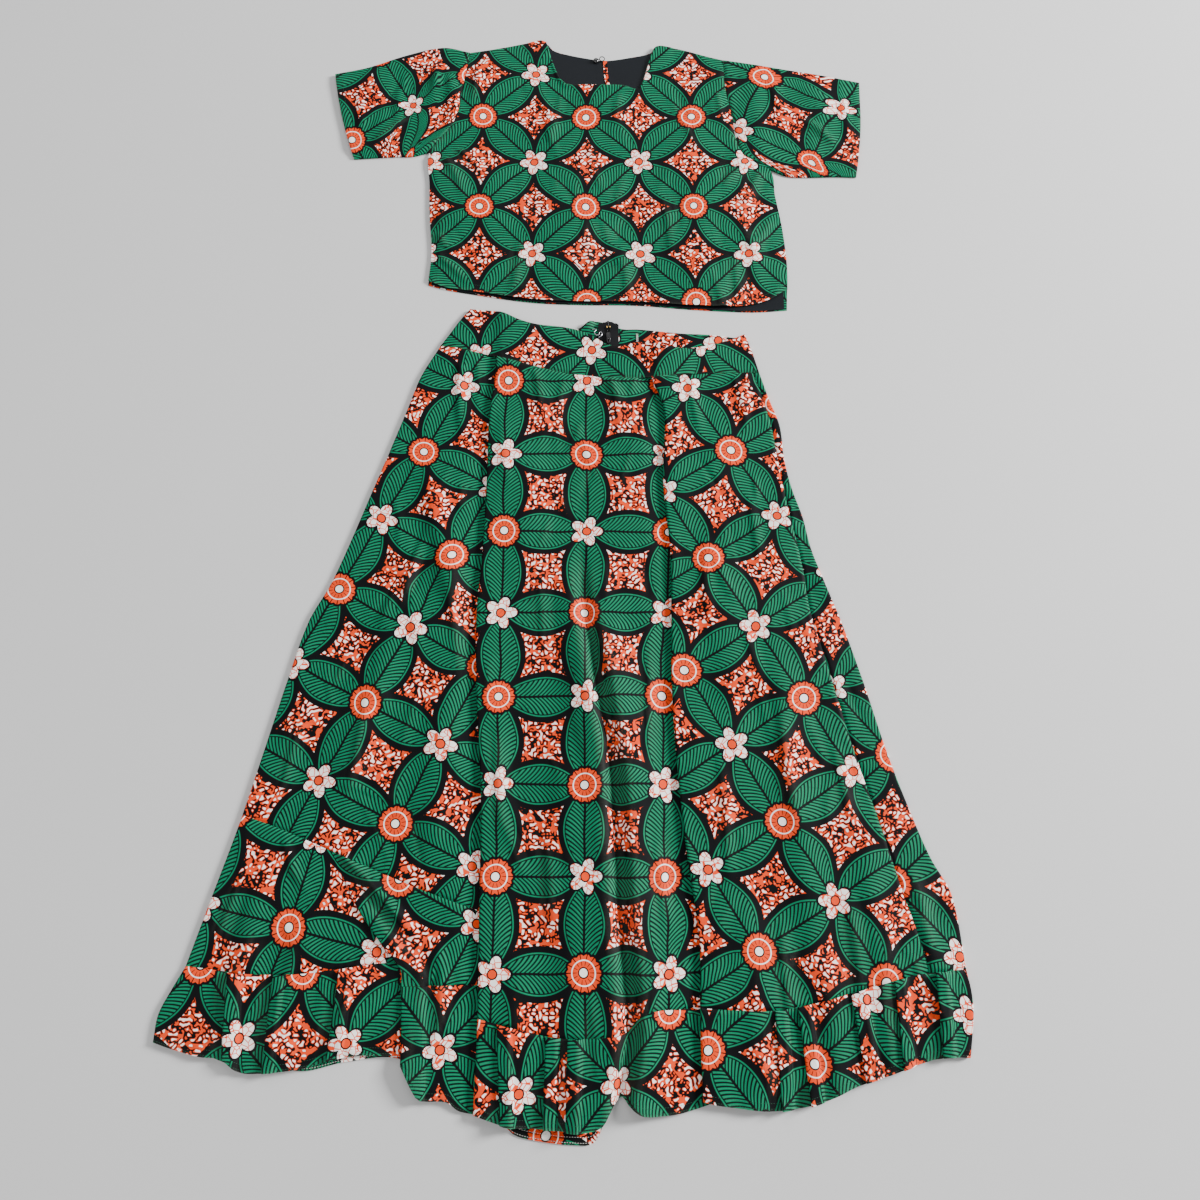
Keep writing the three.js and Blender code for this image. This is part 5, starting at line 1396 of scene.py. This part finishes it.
def makeTopLining():
    reach, relief, strip = liningReach, liningRelief, slitStrip
    slitTop = slitLine[0][1]
    top = upAt(backNeck, -reach["inset"])

    def height(x, y):
        wave = relief["wave"] * np.sin(x / 14 + y / 23) * rise(top(x) - y, *relief["edge"])
        return liningLayer + relief["lift"] + wave

    foot = flatAt(reach["foot"])

    def slitSide(side):
        def at(t):
            y = lerp(slitTop, reach["foot"], t)
            return acrossAt(slitLine, y) + side * (halfSeam + slit["open"] + seam), y
        return at
    leftEdge = vertical(reach["left"], top(reach["left"]), reach["foot"])
    rightEdge = vertical(reach["right"], top(reach["right"]), reach["foot"])
    for name, start, end in (("neckLiningLeft", leftEdge, slitSide(-1)),
                             ("neckLiningRight", slitSide(1), rightEdge)):
        addCloth(name, gridOf(stretch(start, end, top, foot, height), down(75)), "lining",
                 liningWall)
    hemTop, hemFoot = upAt(frontTopHem, reach["underFront"]), upAt(backTopHem, reach["inset"])
    edges = [vertical(x, upAt(frontTopHem)(x), upAt(backTopHem)(x))
             for x in (reach["hemLeft"], reach["hemRight"])]
    addCloth("hemLining", gridOf(stretch(*edges, hemTop, hemFoot, level(liningLayer)), down(16)),
             "lining", liningWall)
    edgeHeight = liningLayer + strip["lift"]
    grid = gridOf(spread(slitSide(-1), beside(slitSide(1), strip["width"]), even(7),
                         flatAt(top(slitLine[0][0])), flatAt(reach["foot"] + strip["short"]),
                         lambda x, y: edgeHeight + strip["wave"] * np.sin(y / 5)), down(70, 3))
    addCloth("slitEdge", grid, thickness=strip["thickness"])


# Relief of a sleeve: lengths from the armhole and from the cuff, and parts up where it fades
sleeveRelief = {
    "fromArmhole": 180, "fromCuff": 165, "lower": (0.04, 0.16), "upper": (0.88, 0.98),
    "inward": (0.02, 0.12), "armhole": 1.2, "cuffHeight": 0.45, "cuffWidth": (9, 12),
    "cuffDip": 0.9, "dipWidth": 2, "lowest": 3, "lowerRise": (0.0, 0.11),
    "upperFall": (0.93, 0.99)}


def sleevePoint(sleeve, armhole, side, part, up):
    def corner(where, column):
        return valueAt(sleeve, 0, column, where), valueAt(sleeve, 0, column + 1, where)

    def chord(where):
        (lowX, lowY), (highX, highY) = corner(where, 3), corner(where, 1)
        return lerp(lowX, highX, up), lerp(lowY, highY, up)
    startX, startY = chord(0.0)
    atArmhole = acrossAt(armhole, startY) + side * armholeGap - startX
    atCuff = side * cuffBow * np.sin(np.pi * up)
    x, y = chord(part)
    return x + lerp(atArmhole, atCuff, part), y


def makeSleeve(name, sleeve, armhole, side):
    r = sleeveRelief
    t = np.concatenate([[0, 0.006, 0.014], even(44, 0.03, 0.955), [0.975, 0.988, 1]])
    lowTop = floorLayer + 2 * lowTurn
    ends = [sleevePoint(sleeve, armhole, side, t, up) for up in (0.0, 1.0)]
    size = np.hypot(ends[1][0] - ends[0][0], ends[1][1] - ends[0][1])
    ring = []  # part up from the lower edge, and height
    turns = np.radians([30, 60, 90, 120, 150])
    for a in turns:
        ring.append((lowTurn * (1 - math.sin(a)) / size, floorLayer + lowTurn * (1 - math.cos(a))))
    ring.append((lowTurn / size, lowTop))
    fronts = even(46, 0.03, 0.965)
    for up in fronts:
        ring.append((up + 0 * t, "front"))
    for a in np.radians([0, 30, 60, 90, 120, 150]):
        ring.append((1 - roll * (1 - math.sin(a)) / size, floorLayer + roll * (1 + math.cos(a))))
    ring.append((1 - roll / size, floorLayer))
    for up in even(12, 0.93, 0.05):
        ring.append((up + 0 * t, floorLayer))
    ring.append((lowTurn / size, floorLayer))
    columns = []
    for up, z in ring:
        x, y = sleevePoint(sleeve, armhole, side, t, up)
        if isinstance(z, str):
            fromArmhole, fromCuff = t * r["fromArmhole"], (1 - t) * r["fromCuff"]
            clear = rise(up, *r["lower"]) * (1 - rise(up, *r["upper"]))
            z = (loft + foldHeight(topFolds, x, y)
                 + clear * rise(t, *r["inward"]) * topFineHeight(x, y))
            z = z + r["armhole"] * besideSeam(y, fromArmhole, 1.4)
            z = (z + r["cuffHeight"] * (1 - rise(fromCuff, *r["cuffWidth"]))
                 - r["cuffDip"] * bump(fromCuff, r["dipWidth"]))
            z = lerp(lowTop, np.maximum(z, r["lowest"]), rise(up, *r["lowerRise"]))
            z = lerp(z, floorLayer + 2 * roll, rise(up, *r["upperFall"]))
        columns.append(np.stack([x, y, z + 0 * t], axis=-1))
    if side < 0:
        columns = columns[::-1]
    addCloth(name, np.stack(columns, axis=1), ring=True)


def plainMesh(holder):  # what a curve or a node tree makes, as a mesh of its own
    view = bpy.context.evaluated_depsgraph_get()
    mesh = bpy.data.meshes.new_from_object(holder.evaluated_get(view))
    bpy.data.objects.remove(holder)
    mesh.materials.clear()
    mesh.shade_smooth()
    return mesh


def mergedShut(mesh, within):  # joins the ends of a closed run and turns its faces outwards
    joined = bmesh.new()
    joined.from_mesh(mesh)
    bmesh.ops.remove_doubles(joined, verts=joined.verts, dist=within)
    bmesh.ops.recalc_face_normals(joined, faces=joined.faces)
    joined.to_mesh(mesh)
    joined.free()
    return mesh


def tubeAlong(name, points, radius):  # round wire through points, in layout mm
    data = bpy.data.curves.new(name, "CURVE")
    data.dimensions = "3D"
    data.bevel_depth = radius / 1000
    data.bevel_resolution = 3
    data.use_fill_caps = True
    spline = data.splines.new("BEZIER")
    spline.bezier_points.add(len(points) - 1)
    spline.resolution_u = 6
    for point, at in zip(spline.bezier_points, points):
        point.co = placed(at)
        point.handle_left_type = point.handle_right_type = "AUTO"
    return plainMesh(newObject(name, data))


def gridSurface(name, rings, closeEnds=True):  # closed rings of points, in layout mm
    rings = placed(rings)
    count, size = rings.shape[:2]
    faces = [(i * size + j, i * size + (j + 1) % size, (i + 1) * size + (j + 1) % size,
              (i + 1) * size + j) for i in range(count - 1) for j in range(size)]
    if closeEnds:
        faces += [tuple(range(size))[::-1], tuple((count - 1) * size + j for j in range(size))]
    mesh = bpy.data.meshes.new(name)
    mesh.from_pydata(rings.reshape(-1, 3).tolist(), [], faces)
    mesh.shade_smooth()
    mesh.set_sharp_from_angle(angle=math.radians(sharpFrom["fittings"]))
    return mesh


button = {"across": -6, "up": 863, "radius": 4.4, "height": 4.2, "base": 2.8,
          "profile": [(0.3, 0), (0.66, 0), (0.92, 0.1), (1, 0.3), (0.97, 0.5), (0.85, 0.68),
                      (0.8, 0.7), (0.74, 0.68), (0.6, 0.84), (0.4, 0.95), (0.18, 1)]}
loopCord = {"across": 3, "up": 866, "radius": 4, "cord": 0.62, "lift": 4.4, "twist": 9,
            "twistDepth": 0.22}


def makeFastening():
    angles = np.linspace(0, 2 * np.pi, 40, endpoint=False)
    rings = [[(button["across"] + out * button["radius"] * math.cos(a),
               button["up"] + out * button["radius"] * math.sin(a),
               button["base"] + up * button["height"]) for a in angles]
             for out, up in button["profile"]]
    addPiece("neckButton", gridSurface("neckButton", rings), "button")
    turns = np.linspace(0, 2 * np.pi, 97)
    rounds = np.linspace(0, 2 * np.pi, 12, endpoint=False)
    rings = []
    for turn in turns:  # two strands twisted together
        twist = loopCord["twistDepth"] * np.cos(2 * rounds - loopCord["twist"] * turn)
        section = loopCord["cord"] * (1 + twist)
        away = loopCord["radius"] + section * np.cos(rounds)
        rings.append(np.stack([
            loopCord["across"] + away * math.cos(turn), loopCord["up"] + away * math.sin(turn),
            loopCord["lift"] + section * np.sin(rounds)], axis=-1))
    rings = np.array(rings)[::-1]
    mesh = mergedShut(gridSurface("neckLoop", rings, closeEnds=False), 1e-6)
    addPiece("neckLoop", mesh, "cord")


hook = {"radius": 0.6, "height": 3.5, "sway": 0.15, "route": [
    (-11, 399), (-6, 399), (-8, 394), (-3, 390), (1, 395), (3, 391), (-2, 386)]}


def makeHook():
    points = [(x, y, hook["height"] + hook["sway"] * (-1) ** i)
              for i, (x, y) in enumerate(hook["route"])]
    addPiece("waistHook", tubeAlong("waistHook", points, hook["radius"]), "wire")


zipFastener = {"tape": 14.6, "gap": 0.12, "top": 411, "foot": 205, "lift": 4, "lifted": 16,
               "pitch": 1.5, "tooth": (0.75, 1.7, 1.3), "toothOut": 1.0, "toothLift": 0.9,
               "opened": 1.2, "teeth": (2, 11), "sliderUp": 386, "sliderWidth": 7,
               "sliderLength": 12, "plate": 0.8, "sliderBase": 2.8, "upperPlate": 2.0,
               "bridge": (2.7, 4.0), "pull": (3.0, 3.9), "stopsUp": 402.5, "stopsOut": 2.1,
               "stop": (0.3, 1.7), "tapeWall": 0.6}


def tapeHeight(x, y):
    return liningLayer + zipFastener["lift"] * rise(
        y, zipFastener["top"] - zipFastener["lifted"], zipFastener["top"])


def plate(outline, low, high):  # points and faces of a flat plate, in layout mm
    size = len(outline)
    points = [(x, y, z) for z in (low, high) for x, y in outline]
    faces = [tuple(range(size))[::-1], tuple(range(size, 2 * size))]
    faces += [(i, (i + 1) % size, size + (i + 1) % size, size + i) for i in range(size)]
    return points, faces


def meshOfParts(name, parts):
    points, faces = [], []
    for partPoints, partFaces in parts:
        faces += [tuple(i + len(points) for i in face) for face in partFaces]
        points += partPoints
    mesh = bpy.data.meshes.new(name)
    mesh.from_pydata(placed(points).tolist(), [], faces)
    return mesh


def addBevelled(name, mesh, finish, width):
    piece = addPiece(name, mesh, finish)
    cut = piece.modifiers.new("softEdges", "BEVEL")
    cut.width = width / 1000
    cut.segments = 2
    cut.limit_method = "ANGLE"
    mesh.shade_smooth()


def oval(centreX, centreY, halfWidth, halfLength, count=24):
    angles = np.linspace(0, 2 * np.pi, count, endpoint=False)
    return [(centreX + halfWidth * math.copysign(abs(math.cos(a)) ** 0.7, math.cos(a)),
             centreY + halfLength * math.copysign(abs(math.sin(a)) ** 0.7, math.sin(a)))
            for a in angles]


def makeZip():
    z = zipFastener
    inner = z["gap"] / 2

    def top(x, beyond=0):
        return z["top"] - np.abs(x - centreBack) / 3 - 0.5 * np.sin(x)

    foot = flatAt(z["foot"])
    for name, start, end in (("zipTapeLeft", -inner - z["tape"], -inner),
                             ("zipTapeRight", inner, inner + z["tape"])):
        edges = [vertical(centreBack + at, z["top"], z["foot"]) for at in (start, end)]
        addCloth(name, gridOf(stretch(*edges, top, foot, tapeHeight, step=2), down(205)), "tape",
                 z["tapeWall"])
    up = z["sliderUp"]
    base, thick = z["sliderBase"], z["plate"]
    wide, long = z["sliderWidth"] / 2, z["sliderLength"] / 2
    outline = [(centreBack + x, up + y) for x, y in (
        (-wide, long * 0.7), (-wide * 0.72, -long), (wide * 0.72, -long), (wide, long * 0.7),
        (wide * 0.8, long * 1.1), (wide * 0.35, long * 1.3), (-wide * 0.35, long * 1.3),
        (-wide * 0.8, long * 1.1))]
    bridge = [(centreBack + x, up + y) for x, y in ((-0.8, 3.6), (-0.8, -3.4), (0.8, -3.4),
                                                   (0.8, 3.6))]
    upper = base + z["upperPlate"]
    parts = [plate(outline, base, base + thick), plate(outline, upper, upper + thick),
             plate(oval(centreBack, up + 3.2, 1.1, 1.6), base + thick - 0.1, base + 2.1),
             plate(bridge, *(base + at for at in z["bridge"]))]
    addBevelled("zipSlider", meshOfParts("zipSlider", parts), "enamel", 0.25)
    outer = oval(centreBack, up - 3.6, 2.3, 6.2)
    holeline = oval(centreBack, up - 5.2, 1.1, 3.2)
    low, high = (base + at for at in z["pull"])
    rings = [[(x, y, at) for x, y in ring] for ring, at in (
        (outer, low), (outer, high), (holeline, high), (holeline, low), (outer, low))]
    mesh = mergedShut(gridSurface("zipPull", rings, closeEnds=False), 1e-7)
    addBevelled("zipPull", mesh, "enamel", 0.2)
    onTape = tapeHeight(0, 402)
    stops = [plate(oval(centreBack + side * z["stopsOut"], z["stopsUp"], 1.0, 1.5, 12),
                   *(onTape + at for at in z["stop"])) for side in (-1, 1)]
    addBevelled("zipStops", meshOfParts("zipStops", stops), "brass", 0.3)


def rowTree(name, shape):  # copies of a small shape along lines, by their spacing
    tree = bpy.data.node_groups.new(name, "GeometryNodeTree")
    for label, kind in (("Geometry", "Geometry"), ("Spacing", "Float"), ("Size", "Vector"),
                        ("Finish", "Material")):
        tree.interface.new_socket(label, in_out="INPUT", socket_type="NodeSocket" + kind)
    tree.interface.new_socket("Geometry", in_out="OUTPUT", socket_type="NodeSocketGeometry")
    b = Bench(tree)
    given = tree.nodes.new("NodeGroupInput").outputs
    lines = b.node("GeometryNodeMeshToCurve", given["Geometry"])
    spaced = b.node("GeometryNodeResampleCurve", Curve=lines.outputs[0], mode="LENGTH")
    b.feed(spaced.inputs["Length"], given["Spacing"])
    facing = b.node("FunctionNodeAlignRotationToVector", axis="X",
                    Vector=b.node("GeometryNodeInputTangent").outputs[0])
    if shape == "stitch":
        unit = b.node("GeometryNodeMeshUVSphere", Segments=6, Rings=4, Radius=0.5)
    else:
        unit = b.node("GeometryNodeMeshCube", Size=(1.0, 1.0, 1.0))
    copies = b.node("GeometryNodeInstanceOnPoints", Points=spaced.outputs[0],
                    Instance=unit.outputs[0], Rotation=facing.outputs[0], Scale=given["Size"])
    real = b.node("GeometryNodeRealizeInstances", copies.outputs[0])
    finished = b.node("GeometryNodeSetMaterial", Geometry=real.outputs[0],
                      Material=given["Finish"])
    b.feed(tree.nodes.new("NodeGroupOutput").inputs[0], finished.outputs[0])
    return tree


rowTrees = {shape: rowTree(shape + "Row", shape) for shape in ("stitch", "tooth")}


def addRow(name, shape, paths, spacing, size, finish):
    points, edges = [], []
    for path in paths:
        edges += [(len(points) + i, len(points) + i + 1) for i in range(len(path) - 1)]
        points += list(path)
    lines = bpy.data.meshes.new(name + "Lines")
    lines.from_pydata(placed(points).tolist(), edges, [])
    holder = newObject(name + "Lines", lines)
    rows = holder.modifiers.new("row", "NODES")
    rows.node_group = rowTrees[shape]
    sockets = {item.name: item.identifier for item in rows.node_group.interface.items_tree
               if item.in_out == "INPUT"}
    rows[sockets["Spacing"]] = spacing / 1000
    rows[sockets["Size"]] = [v / 1000 for v in size]
    rows[sockets["Finish"]] = materials[finish]
    mesh = plainMesh(holder)
    addPiece(name, mesh, finish, suffix="")
    print(f"row {name}: {len(mesh.polygons)} faces")


# Rows along the hems leave out the columns of a rolled edge
stitching = {"spacing": 3.1, "size": (2.3, 0.42, 0.34), "proud": 0.05, "single": 10,
             "leftOut": (10, 1),
             "backSize": (2.3, 0.6, 0.4), "tackSpacing": 1.3, "tackSize": (1.7, 0.5, 0.4)}


def alongFoot(name, distance, skip=(0, 0), ring=False):  # on a piece, above its lower edge
    grid = grids[name]
    normal = normalsOf(grid, ring)
    steps = np.linalg.norm(np.diff(grid, axis=0), axis=2)[::-1]
    fromFoot = np.concatenate([np.zeros((1, grid.shape[1])), np.cumsum(steps, axis=0)])
    path = []
    for j in range(skip[0], grid.shape[1] - skip[1]):
        place = [np.interp(distance, fromFoot[:, j], grid[::-1, j, axis]) for axis in range(3)]
        out = [np.interp(distance, fromFoot[:, j], normal[::-1, j, axis]) for axis in range(3)]
        path.append(np.array(place) + np.array(out) * (cottonWall / 2 + stitching["proud"]))
    return path


def makeStitches():
    s, at = stitching, stitching["single"]
    hemRows = [alongFoot(name, row, s["leftOut"])
               for name in ("ruffleLeft", "ruffleCentre", "ruffleRight")
               for row in hemFold["rows"]]
    backRows = [alongFoot(name, row) for name in ("ruffleBackLeft", "ruffleBackRight")
                for row in hemFold["rows"]]
    cuffRows = [alongFoot(name, at, ring=True) for name in ("sleeveLeft", "sleeveRight")]
    topRow = alongFoot("topFront", at, (1, 1))
    tack = [(53 + 1.4 * (-1) ** i, 380.5 + 0.75 * i, 1.75) for i in range(18)]  # a zigzag
    for name, rows, spacing, size, thread in (
            ("hemStitches", hemRows, s["spacing"], s["size"], "darkThread"),
            ("backHemStitches", backRows, s["spacing"], s["backSize"], "whiteThread"),
            ("cuffStitches", cuffRows, s["spacing"], s["size"], "darkThread"),
            ("topHemStitches", [topRow], s["spacing"], s["size"], "darkThread"),
            ("waistTack", [tack], s["tackSpacing"], s["tackSize"], "whiteThread")):
        addRow(name, "stitch", rows, spacing, size, thread)
    z = zipFastener
    first, last = z["foot"] + z["teeth"][0], z["top"] - z["teeth"][1]
    ups = even(160, first, last)
    rows = []
    for side in (-1, 1):
        apart = z["opened"] * rise(ups, z["sliderUp"] + 4, last)
        x = centreBack + side * (z["toothOut"] + apart)
        lift = tapeHeight(x, ups) + z["toothLift"]
        rows.append(list(np.stack([x, ups + 0.37 * side, lift], axis=-1)))
    addRow("zipTeeth", "tooth", rows, z["pitch"], z["tooth"], "enamel")


makeFrontLeft()
makeFrontLeftLower()
makeRuffleLeft()
makeFrontCentre()
makeRuffleCentre()
makeRightPanels()
makeRuffleRight()
makeSkirtBack()
makeWaistband()
print("stage: skirt laid out")
makeTop()
makeTopLining()
makeSleeve("sleeveLeft", leftSleeve, topLeftEdge, -1)
makeSleeve("sleeveRight", rightSleeve, topRightEdge, 1)
print("stage: top laid out")
makeFastening()
makeHook()
makeZip()
makeStitches()
print("stage: fastenings and stitches")
